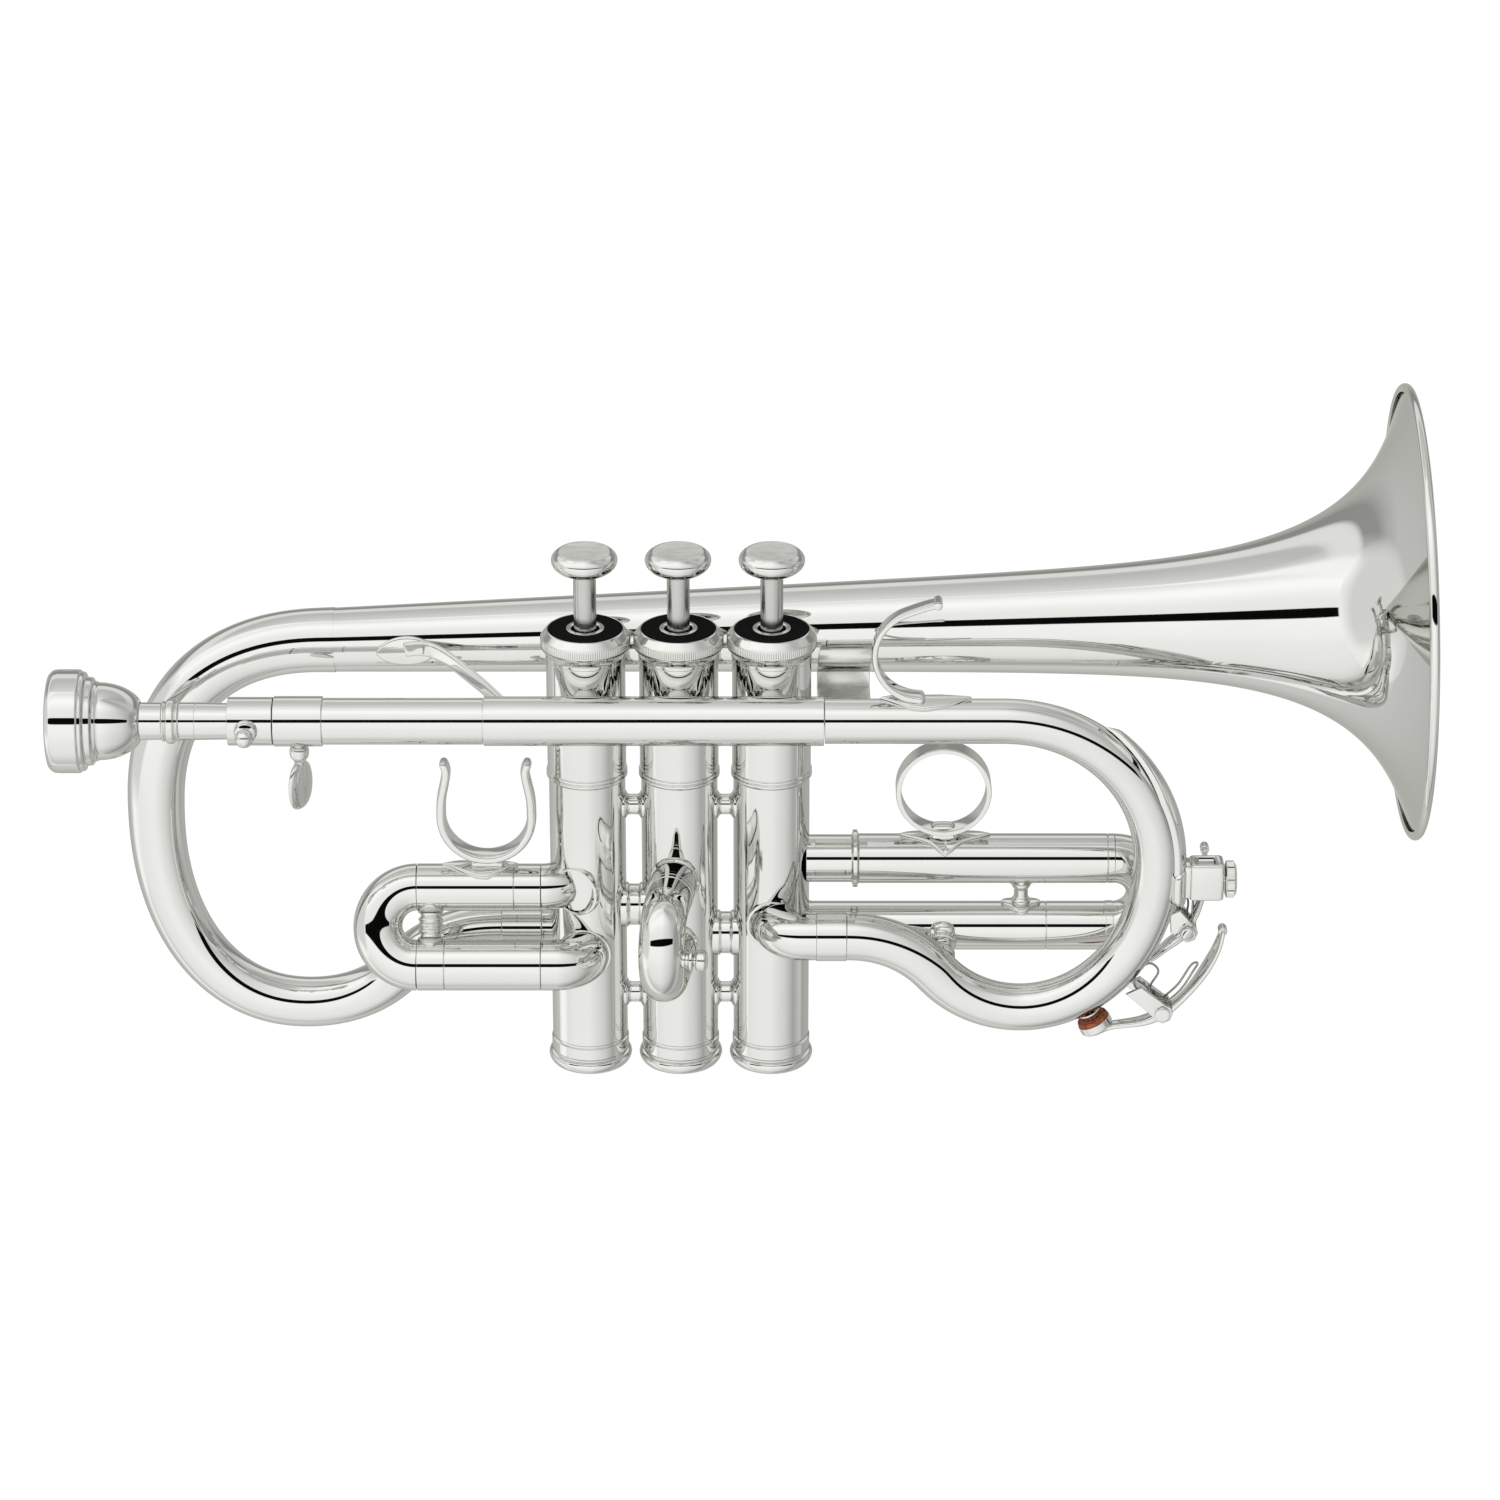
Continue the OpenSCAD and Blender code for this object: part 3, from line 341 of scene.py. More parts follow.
def smooth_path(points, n):
    """A Catmull-Rom curve through the points."""
    p = [points[0] * 2 - points[1]] + list(points) + [points[-1] * 2 - points[-2]]
    out = []
    spans = len(points) - 1
    for i in range(n + 1):
        s = min(spans - 1e-9, i / n * spans)
        k = int(s)
        t = s - k
        a, b, c, d = p[k], p[k + 1], p[k + 2], p[k + 3]
        out.append(0.5 * (2 * b + (c - a) * t + (2 * a - 5 * b + 4 * c - d) * t ** 2
            + (3 * b - a - 3 * c + d) * t ** 3))
    return out


# ---------------------------------------------------------------- materials

def material(name):
    made = bpy.data.materials.new(name)
    made.use_nodes = True
    tree = made.node_tree
    return made, tree, tree.nodes["Principled BSDF"]


def add_node(tree, kind, **values):
    made = tree.nodes.new(kind)
    for key, value in values.items():
        if key in made.inputs:
            made.inputs[key].default_value = value
        else:
            setattr(made, key, value)
    return made


def put(node, values):
    for name, value in values.items():
        node.inputs[name].default_value = value


def noise_map(tree, scale, low, high, stretch=(1, 1, 1), detail=3.0, from_min=0.3, from_max=0.7):
    """A noise that runs from low to high."""
    link = tree.links.new
    coords = add_node(tree, "ShaderNodeTexCoord")
    mapping = add_node(tree, "ShaderNodeMapping")
    put(mapping, {"Scale": stretch})
    noise = add_node(tree, "ShaderNodeTexNoise")
    put(noise, {"Scale": scale, "Detail": detail})
    link(coords.outputs["Object"], mapping.inputs["Vector"])
    link(mapping.outputs["Vector"], noise.inputs["Vector"])
    spread = add_node(tree, "ShaderNodeMapRange")
    put(spread, {"From Min": from_min, "From Max": from_max, "To Min": low, "To Max": high})
    link(noise.outputs["Fac"], spread.inputs["Value"])
    return spread.outputs["Result"]


def mixed_colour(tree, factor, a, b):
    made = add_node(tree, "ShaderNodeMix", data_type="RGBA")
    made.inputs[6].default_value = (*a, 1)
    made.inputs[7].default_value = (*b, 1)
    tree.links.new(factor, made.inputs[0])
    return made.outputs[2]


def surface(name, light, dark, patches, relief, rough=None, settings=None):
    """One noise mixes two colours, a second raises the surface and a third, if given, varies the roughness.

    A noise is (scale, low, high, ...) and relief is (noise, strength, depth in metres).
    """
    made, tree, shader = material(name)
    link = tree.links.new
    put(shader, settings or {})
    link(mixed_colour(tree, noise_map(tree, *patches), light, dark), shader.inputs["Base Color"])
    if rough:
        link(noise_map(tree, *rough), shader.inputs["Roughness"])
    grain, strength, depth = relief
    bump = add_node(tree, "ShaderNodeBump")
    put(bump, {"Strength": strength, "Distance": depth})
    link(noise_map(tree, *grain), bump.inputs["Height"])
    link(bump.outputs["Normal"], shader.inputs["Normal"])
    return made


def metal(name, light, dark, rough, edge, stretch=(1, 1, 1), relief=0.02):
    return surface(name, light, dark, (38.0, 0, 1), ((900.0, 0, 1, stretch), relief, 0.00002),
        (90.0, *rough), {"Metallic": 1.0, "Specular Tint": (*edge, 1)})


silver = metal("mirror_silver", (0.80, 0.80, 0.785), (0.785, 0.787, 0.765), (0.015, 0.04),
    (0.72, 0.72, 0.68))
satin = metal("satin_stem", (0.64, 0.64, 0.62), (0.56, 0.565, 0.545), (0.17, 0.25), (0.7, 0.7, 0.68),
    (1, 1, 12), 0.15)
knurled = metal("knurled_silver", (0.85, 0.85, 0.83), (0.72, 0.72, 0.68), (0.12, 0.2), (0.7, 0.7, 0.66),
    relief=0.1)
brushed = metal("brushed_silver", (0.95, 0.95, 0.93), (0.90, 0.90, 0.88), (0.2, 0.26), (0.9, 0.9, 0.9),
    (1, 12, 1), 0.1)
steel = metal("spring_steel", (0.42, 0.42, 0.39), (0.30, 0.30, 0.27), (0.2, 0.35), (0.6, 0.6, 0.6),
    relief=0.2)
nickel = metal("lapped_nickel", (0.72, 0.71, 0.67), (0.63, 0.62, 0.58), (0.18, 0.3), (0.8, 0.8, 0.8),
    (1, 1, 30), 0.2)
pearl = surface("button_inlay", (0.83, 0.84, 0.80), (0.70, 0.71, 0.67), (260.0, 0, 1, (1, 2.2, 1), 5.0, 0.35,
    0.65), ((420.0, 0, 1), 0.25, 0.00008), (300.0, 0.3, 0.42), {"Metallic": 0.55, "Coat Weight": 0.3})
felt = surface("black_felt", (0.004, 0.004, 0.004), (0.016, 0.015, 0.015), (2600.0, 0, 1),
    ((2200.0, 0, 1), 0.8, 0.0002), None, {"Roughness": 1.0, "Specular IOR Level": 0.05})
CORK_GRAIN = (900.0, 0, 1, (1, 1, 1), 6.0, 0.38, 0.62)
cork = surface("red_cork", (0.42, 0.12, 0.045), (0.22, 0.05, 0.02), CORK_GRAIN, (CORK_GRAIN, 0.5, 0.0002),
    None, {"Roughness": 0.75})
nylon = surface("guide_nylon", (0.85, 0.85, 0.8), (0.8, 0.8, 0.74), (300.0, 0, 1),
    ((1200.0, 0, 1), 0.2, 0.0001), (500.0, 0.4, 0.55))


# ---------------------------------------------------------------- shared measures

LEAD = centre("leadpipe_sleeve")
LEAD_Y, LEAD_Z = LEAD.y, LEAD.z
VALVES = [centre(f"casing_{n}").x for n in (1, 2, 3)]
CASING_R = 10.15
UPPER_R = 10.45
RING_Z = 85.6
PORT_1_Y, PORT_1_Z = 3.0, 38.2
PORT_3_Z = 45.4
SLIDE_1_TOP, SLIDE_1_LOW = (-7.0, 55.1), (-16.12, 36.41)
SLIDE_3_TOP_Z, SLIDE_3_LOW_Z = 60.3, 40.3
SLIDE_3_BRACE_X = 91.5
BEND_R = 41


def x_pipe(shape, node_box, bore, lip=0.18):
    """A tube along X that fills a CAD box."""
    low, high = node_box
    mid = (low + high) / 2
    shape.pipe((low.x, mid.y, mid.z), (high.x, mid.y, mid.z), (high.z - low.z) / 2, bore, lip)


# ---------------------------------------------------------------- bell

BELL_LENGTH = 288.0
BEAD_R = 1.35
SHEET = 0.6


def flare(back):
    return (8.55 + 0.0256 * (BELL_LENGTH - back) + 31.3 * exp(-back / 23) + 12.4 * exp(-back / 5.9))


def build_bell():
    mouth, axis = mount("bell_mouth")
    tail = mouth - axis * BELL_LENGTH
    outer = []
    steps = 150
    for i in range(steps + 1):
        back = (BELL_LENGTH - BEAD_R) * (1 - i / steps) ** 2.2
        outer.append(Vector((BELL_LENGTH - BEAD_R - back, flare(back))))
    inner = []
    for i, p in enumerate(outer):
        d = (outer[min(i + 1, steps)] - outer[max(i - 1, 0)]).normalized()
        inner.append(p + Vector((d.y, -d.x)) * SHEET)
    top = outer[-1]
    d = (outer[-1] - outer[-2]).normalized()
    lean = degrees(atan2(d.y, d.x))
    bead = []
    for k in range(21):
        a = radians(lean + 150 - 300 * k / 20)
        bead.append(top + Vector((cos(a), sin(a))) * BEAD_R)
    outline = outer[:-2] + bead + inner[-3:0:-1]
    start = [Vector((0, inner[0].y)), Vector((0, outer[0].y))]
    shape = Shape()
    shape.lathe([(p.x, p.y) for p in start + outline[1:]], tail, axis, 192, closed=True)
    shape.make("bell_shell", "bell", sharp=75)


def quarter(cx, cz, a, b, power, a0, a1, n):
    out = []
    for i in range(1, n + 1):
        t = radians(mix(a0, a1, i / n))
        c, s = cos(t), sin(t)
        across = squared(c, power) * (abs(c) > 1e-9)
        up = squared(s, power) * (abs(s) > 1e-9)
        out.append((cx + a * across, cz + b * up))
    return out


def s_bend(low, end, n):
    run, rise = end[0] - low[0], end[1] - low[1]
    turn = 2 * atan(rise / abs(run))
    r = abs(run) / (2 * sin(turn))
    way = copysign(1, run)
    first = [(low[0] + way * r * sin(turn * i / n), low[1] + r * (1 - cos(turn * i / n)))
        for i in range(1, n + 1)]
    second = [(end[0] - way * r * sin(turn * i / n), end[1] - r * (1 - cos(turn * i / n)))
        for i in range(n - 1, -1, -1)]
    return first + second


def even(points, n):
    """The same line with n equal steps, softened where two curves meet."""
    dist = [0]
    for a, b in zip(points, points[1:]):
        dist.append(dist[-1] + (b - a).length)
    out = []
    k = 0
    for i in range(n + 1):
        want = dist[-1] * i / n
        while k < len(points) - 2 and dist[k + 1] < want:
            k += 1
        t = (want - dist[k]) / (dist[k + 1] - dist[k])
        out.append(points[k].lerp(points[k + 1], t))
    for _ in range(3):
        out = [out[0]] + [(out[i - 1] + out[i] * 2 + out[i + 1]) / 4 for i in range(1, n)] + [out[n]]
    return out


def build_bell_crook():
    mouth, axis = mount("bell_mouth")
    tail = mouth - axis * BELL_LENGTH
    start = tail - axis
    low_z, low_x, mid_z, left_x = 12.6, -101.0, 67.2, -141.3
    end = (-48.0, PORT_1_Z)
    loop = quarter(start.x, mid_z, start.x - left_x, start.z - mid_z, 2.4, 90, 180, 60)
    loop += quarter(low_x, mid_z, low_x - left_x, mid_z - low_z, 2.2, 180, 270, 60)
    rise = s_bend((low_x, low_z), (end[0] - 1, end[1]), 24)
    points = [tail, start]
    for line, y0, y1 in ((loop, tail.y, 9.0), (rise, 9.0, PORT_1_Y)):
        for i, (x, z) in enumerate(line, 1):
            points.append(Vector((x, mix(y0, y1, ease(i / len(line))), z)))
    points.append(Vector((end[0], PORT_1_Y, end[1])))
    shape = Shape()
    shape.tube(even(points, 190), lambda t: mix(8.75, 6.2, t ** 0.8), SHEET)
    shape.make("bell_crook_tube", "bell_crook", sharp=75)


FRONT_BEND = Vector((85.5, LEAD_Y, LEAD_Z - BEND_R))
FRONT_R = 6.3


def front_points():
    end = (44.5, PORT_3_Z)
    low_x, low_z = 91.0, 24.4
    flat = [(box("leadpipe_sleeve")[1].x + 0.25, LEAD_Z), (60, LEAD_Z), (FRONT_BEND.x, LEAD_Z)]
    flat += quarter(FRONT_BEND.x, FRONT_BEND.z, BEND_R, BEND_R, 2, 90, 0, 60)
    flat += quarter(low_x, FRONT_BEND.z, FRONT_BEND.x + BEND_R - low_x, FRONT_BEND.z - low_z, 2, 0, -90, 60)
    flat += s_bend((low_x, low_z), (end[0] + 1, end[1]), 24)
    flat.append(end)
    return even([Vector((p[0], LEAD_Y, p[1])) for p in flat], 200)


def build_front_crook():
    points = front_points()
    top = points[0].z

    def radius(t):
        z = points[min(200, round(t * 200))].z
        return mix(FRONT_R, 5.95, max(0, (z - FRONT_BEND.z) / (top - FRONT_BEND.z)))
    shape = Shape()
    shape.tube(points, radius, SHEET)
    shape.make("front_crook_tube", "front_crook", sharp=75)


def build_ferrules():
    shape = Shape()
    shape.pipe((-48.0, PORT_1_Y, PORT_1_Z), (-37.2, PORT_1_Y, PORT_1_Z), 6.65, 5.6, 0.3)
    shape.pipe((36.45, LEAD_Y, PORT_3_Z), (44.45, LEAD_Y, PORT_3_Z), 6.52, 5.7, 0.22)
    shape.make("crook_ferrule_rings", "crook_ferrules")


def build_knuckles():
    """Short elbows that carry the tubing into the valve casings."""
    shape = Shape()
    wall = 0.55

    def elbow(start, lead, way, bend, turn, stub, r):
        d = Vector((way, 0, 0))
        points = [Vector(start), Vector(start) + d * lead]
        mid = points[-1] + Y * bend
        for i in range(1, 25):
            a = radians(turn * i / 24)
            points.append(mid + d * bend * sin(a) - Y * bend * cos(a))
        a = radians(turn)
        points.append(points[-1] + (d * cos(a) + Y * sin(a)) * stub)
        shape.tube(even(points, 60), lambda t: r, wall, ref=Z)
    shape.pipe((-37.2, PORT_1_Y, PORT_1_Z), (-32.5, PORT_1_Y, PORT_1_Z), 6.2, 5.65)
    elbow((36.4, LEAD_Y, PORT_3_Z), 3.7, -1, 6.7, 80, 3.5, 6.3)
    elbow((-36.8, *SLIDE_1_TOP), 0.2, 1, 6.9, 62, 3.0, 6.3)
    elbow((-36.8, *SLIDE_1_LOW), 4.0, 1, 7.2, 84, 2.5, 6.8)
    for at, r, tilt in (((-27.6, -9.6, 55.1), 6.6, 62), ((24.5, -9.75, 45.4), 6.6, 90),
            ((-25.6, -9.75, 36.4), 7.1, 90)):
        shape.turned([(-0.7, r - 0.6), (-0.7, r + 0.08), (0.4, r + 0.3), (0.9, r + 0.25), (0.9, r - 0.5)],
            0.2, at, Vector((cos(radians(tilt)), sin(radians(tilt)), 0)), 72)
    shape.make("valve_port_knuckles", "port_knuckles", sharp=60)


def build_guard():
    """A thin saddle that wraps the outside of the bend, drawn to a point at its upper end."""
    shape = Shape()
    rows = []
    steps, across = 60, 24
    for i in range(steps + 1):
        t = i / steps
        beta = radians(mix(56.0, -6.0, t))
        half = radians(48) * min(1, t / 0.5) ** 0.8
        out = X * cos(beta) + Z * sin(beta)
        mid = FRONT_BEND + out * BEND_R
        row = []
        for k in range(across + 1):
            a = mix(-half, half, k / across)
            edge = min(1, (1 - abs(2 * k / across - 1)) * 8)
            lift = 1.35 * sqrt(edge) * min(1, t * 12 + 0.15)
            row.append(mid + (out * cos(a) + Y * sin(a)) * (FRONT_R + lift - 0.05))
        rows.append(row)
    shape.grid(rows, wrap_v=False)
    shape.make("front_bend_guard", "crook_guard", sharp=75)


def build_bell_braces():
    shape = Shape()
    path = smooth_path([Vector((-72.4, 12.9, 115.7)), Vector((-69.6, 12.6, 116.1)),
        Vector((-66.2, 11.3, 116.2)), Vector((-62.7, 8.7, 115.7)), Vector((-58.9, 5.2, 114.5)),
        Vector((-55.0, 1.0, 113.1)), Vector((-51.3, -3.4, 111.9)), Vector((-48.2, -7.6, 110.8)),
        Vector((-46.0, -10.9, 110.1))], 60)
    shape.ribbon(path, 4.2, 1.5, ref=Z)
    leaf = [(8.2 * cos(a), copysign(4.1 * abs(sin(a)) ** 1.35, sin(a))) for a in around(56)]
    mouth, axis = mount("bell_mouth")
    foot_x = -72.4
    at = mouth - axis * (mouth.x - foot_x) / axis.x
    shape.pad(leaf, at, flare(mouth.x - foot_x) + 0.02, 0.9, along=axis, out=-Y)
    left, right, thick = 36.7, 50.9, 1.4
    front, rear = -11.6, 22.8
    front_z, fall = 104.6, tan(radians(7))
    strap = [(left, front), (right, front), (right, rear), (left, rear)]
    shape.slab(strap, thick, lambda u, v, h: Vector((u, v, front_z - fall * (v - front) + h)), 0.3, mat=1)
    foot_z, top_z = 100.2, 106.2
    upright = [(left, foot_z), (right, foot_z), (right, top_z), (left, top_z)]
    shape.slab(upright, thick, lambda u, v, h: Vector((u, rear - thick / 2 + h, v)), 0.3, mat=1)
    shape.make("bell_to_leadpipe_braces", "bell_braces", silver, brushed)


# ---------------------------------------------------------------- leadpipe

def build_leadpipe():
    shape = Shape()
    x_pipe(shape, box("leadpipe_sleeve"), 6.16, 0.3)
    shape.make("leadpipe_sleeve_tube", "leadpipe_sleeve")
    shape = Shape()
    low, high = box("mouthpipe")
    r = (high.z - low.z) / 2
    length = high.x - low.x
    outline = [(0, 5.57), (0, r)]
    for x in (box("lock_ring")[1].x - low.x + 0.12, box("leadpipe_sleeve")[0].x - low.x - 0.12):
        if 0.5 < x < length - 0.5:
            outline += [(x - 0.12, r, 0.02), (x - 0.12, r - 0.5, 0.02), (x + 0.12, r - 0.5, 0.02),
                (x + 0.12, r, 0.02)]
    outline += [(length, r), (length, 5.57)]
    shape.turned(outline, 0.12, (low.x, LEAD_Y, LEAD_Z), X, 96, closed=True)
    shape.make("mouthpipe_tube", "mouthpipe")
    shape = Shape()
    x_pipe(shape, box("lock_ring"), 6.17, 0.35)
    shape.make("lock_ring_band", "lock_ring")


def build_shank():
    low, high = box("tuning_shank")
    r = (high.z - low.z) / 2
    length = high.x - low.x
    lock = box("lock_ring")[0].x - 0.2 - low.x
    shape = Shape()
    shape.turned([(-97.0 - low.x, 4.6), (0, 4.85), (0, r), (lock, r), (lock, 5.5), (length, 5.5),
        (length, 4.7), (22, 4.56)], 0.3, (low.x, LEAD_Y, LEAD_Z), X, 96, closed=True)
    shape.make("tuning_shank_tube", "tuning_shank")
    shape = Shape()
    low, high = box("shank_knob")
    x = (low.x + high.x) / 2
    face = -(r - 0.3)
    outline = rounded([(0, 0), (0, 3.05), (0.9, 3.05), (1.2, 2.75), (1.9, 2.7), (2.3, 1.9), (2.5, 1.35),
        (3.1, 1.3), (3.3, 1.5)], 0.2)
    ball = [(5.1 - 2.45 * cos(a), 2.45 * sin(a)) for a in (radians(45 + 135 * k / 18) for k in range(19))]
    shape.lathe(outline + ball, (x, LEAD_Y + face, LEAD_Z), -Y, 64)
    shape.make("shank_pull_knob", "shank_knob")


def build_mouthpiece():
    rim_x = box("mouthpiece")[0].x + 0.5
    outline = rounded([(0.02, 9.7), (0, 10.6, 0.6), (0.35, 12.4, 0.9), (1.6, 13.45, 1.0), (2.9, 13.6),
        (8.5, 13.6, 0.35), (8.9, 13.1, 0.2), (9.9, 12.95, 0.5), (10.2, 11.7, 0.4), (11.9, 11.5, 0.3),
        (12.3, 10.6, 0.4), (13.2, 10.35)], 0.3)
    cup = []
    for k in range(25):
        a = radians(90 * k / 24)
        cup.append((13.3 + 10.9 * sin(a), 4.95 + 5.25 * max(0, cos(a)) ** 1.35))
    shank = rounded([(24.9, 4.96), (29.6, 4.9), (30.2, 5.45, 0.5), (30.7, 5.1, 0.2), (31.2, 5.9, 0.8),
        (32.9, 5.95, 0.8), (33.4, 5.1, 0.25), (33.9, 5.5, 0.4), (34.4, 4.98, 0.2), (38.4, 4.96, 0.05),
        (38.5, 4.86, 0.05), (38.7, 4.94, 0.05), (47, 4.78), (67.6, 4.52), (67.8, 3.9)], 0.2)
    bore = [(67.6, 3.75), (60, 3.6), (26, 1.9), (15.5, 1.9), (13.6, 2.3), (12.9, 3.1)]
    bowl = [(12.9 * cos(a) ** 0.8, 3.1 + 5.8 * sin(a)) for a in (radians(90 * k / 16) for k in range(1, 16))]
    lip = [(0.3, 9.0), (0.05, 9.35)]
    shape = Shape()
    shape.lathe(outline + cup + shank + bore + bowl + lip, (rim_x, LEAD_Y, LEAD_Z), X, 128, closed=True)
    shape.make("mouthpiece_body", "mouthpiece", sharp=70)


def build_thumb_screw():
    low, high = box("thumb_screw")
    x = -99.2
    shape = Shape()
    edge = box("lock_ring")[0].z - high.z
    shape.turned([(0, 0), (0, 1.42), (edge - 0.4, 1.42), (edge - 0.6, 2.2, 0.4), (edge - 1.4, 2.6, 0.6),
        (edge - 3.4, 2.5, 0.8), (edge - 4.6, 1.5, 0.5), (edge - 6.0, 1.3), (edge - 6.4, 0)], 0.2,
        (x, LEAD_Y, high.z), Z, 64)
    turn = radians(60)
    across = Vector((cos(turn), sin(turn), 0))
    rows = []
    bottom = low.z
    height = 96.9 - bottom
    for i in range(25):
        t = i / 24
        a = pi * t
        z = bottom + height * (1 - cos(a)) / 2
        w = 5.2 * sin(a) ** 0.75 * (1 + 0.06 * cos(a))
        pinch = 1 - 0.45 * exp(-((t - 0.97) / 0.12) ** 2)
        thick = 1.45 * sin(a) ** 0.45 * (0.8 + 0.35 * ease(t))
        row = []
        for b in around(40):
            hollow = 1 - 0.42 * (1 - abs(cos(b))) * sin(a)
            wide = across * w * pinch * cos(b)
            deep = across.cross(Z) * thick * hollow * sin(b)
            row.append(Vector((x, LEAD_Y, z)) + wide + deep)
        rows.append(row)
    shape.grid(rows)
    shape.make("lock_wing_screw", "thumb_screw", sharp=70)


def build_pinky_hook():
    shape = Shape()
    mid = Vector((63.6, LEAD_Y, 127.4))
    path = arc(mid, 12.4, 268, 112, 44)
    tip = path[-1]
    path += [tip + Vector((2.6, 0, 1.0)), tip + Vector((5.4, 0, 2.0)), tip + Vector((8.2, 0, 2.7))]
    path = even(path, 90)
    shape.ribbon(path, lambda t: mix(5.8, 4.9, ease(t)), lambda t: mix(2.5, 1.7, ease(t * 3)))
    shape.lathe([(-2.5, 0), (-2.5, 0.9), (-2.3, 1.15), (2.3, 1.15), (2.5, 0.9), (2.5, 0)],
        path[-1] + Vector((0.3, 0, 0.1)), Y, 32)
    foot = [(-12, 0), (-9, -1.4), (-3.4, -3.9), (0, -4.2), (4.4, -3.4), (12.0, -0.25), (12.0, 0.25),
        (4.4, 3.4), (0, 4.2), (-3.4, 3.9), (-9, 1.4)]
    shape.pad(foot, (64.6, LEAD_Y, LEAD_Z), 6.0, 1.05)
    shape.make("little_finger_hook", "pinky_hook")


# ---------------------------------------------------------------- valves

def build_casings():
    for n, x in enumerate(VALVES, 1):
        shape = Shape()
        shape.turned([(4.3, 8.45), (4.3, 10.05), (4.6, 10.4, 0.12), (7.7, 10.42, 0.12), (7.95, 9.9, 0.08),
            (8.5, 9.9, 0.08), (8.75, CASING_R, 0.1), (RING_Z - 0.6, CASING_R, 0.15),
            (RING_Z - 0.2, 10.75, 0.25), (RING_Z + 0.4, 10.8, 0.2), (RING_Z + 0.75, 10.5, 0.12),
            (RING_Z + 1.1, 10.8, 0.2), (RING_Z + 1.6, 10.7, 0.2), (RING_Z + 1.9, UPPER_R, 0.12),
            (119.4, UPPER_R), (119.4, 9.2), (112, 9.15), (112, 8.45)], 0.2, (x, 0, 0), Z, 144, closed=True)
        shape.make(f"casing_{n}_barrel", f"casing_{n}", sharp=70)


def build_valve_tubes():
    shape = Shape()
    for a, b, z, r in ((0, 1, 46.6, 5.9), (1, 2, PORT_1_Z, 6.0)):
        xa, xb = VALVES[a] + 8.6, VALVES[b] - 8.6
        end = [(0, 5.0), (0, r + 0.25), (1.9, r + 0.2, 0.4), (2.4, r - 0.35, 0.3)]
        shape.turned(mirrored(end, xb - xa), 0.2, (xa, 0, z), X, 72, closed=True)
    shape.make("between_valve_tubes", "valve_tubes")


def spool(shape, a, b, waist, foot, collar=0.0):
    """A turned stay between a and b: wide feet, shoulders and a plain or collared waist."""
    a, b = Vector(a), Vector(b)
    h = (b - a).length
    half = [(0, foot), (h * 0.13, foot), (h * 0.19, foot * 0.93), (h * 0.27, waist * 1.06),
        (h * 0.33, waist)]
    if collar:
        half += [(h * 0.42, waist), (h * 0.43, collar)]
    shape.turned([(0, 0)] + mirrored(half, h) + [(h, 0)], 0.45, a, b - a, 64)


def build_braces():
    shape = Shape()
    for x in VALVES[:2]:
        for z in (20.3, 76.3):
            spool(shape, (x + 9.0, 0, z), (x + 15.5, 0, z), 2.75, 4.1)
    for x in VALVES:
        shape.block((x - 3, -11.4, LEAD_Z - 2.4), (x + 3, -9.9, LEAD_Z + 2.4), 0.3)
    petals = [(a, 1 + 0.16 * cos(4 * a)) for a in around(64)]
    flower = [(4.6 * k * cos(a), 3.9 * k * sin(a)) for a, k in petals]
    shape.pad(flower, (SLIDE_3_BRACE_X, 0, SLIDE_3_LOW_Z), 6.62, 0.95)
    shape.pad([(p[0] * 0.62, p[1] * 0.62) for p in flower], (SLIDE_3_BRACE_X, 0, SLIDE_3_TOP_Z), 6.67, 0.8,
        out=-Z)
    spool(shape, (SLIDE_3_BRACE_X, 0, 47.4), (SLIDE_3_BRACE_X, 0, 53.3), 1.9, 2.6)
    spool(shape, (70.4, -4.6, 41.4), (70.0, -13.4, 37.4), 2.4, 3.6, collar=3.9)
    shape.make("valve_and_slide_braces", "braces")


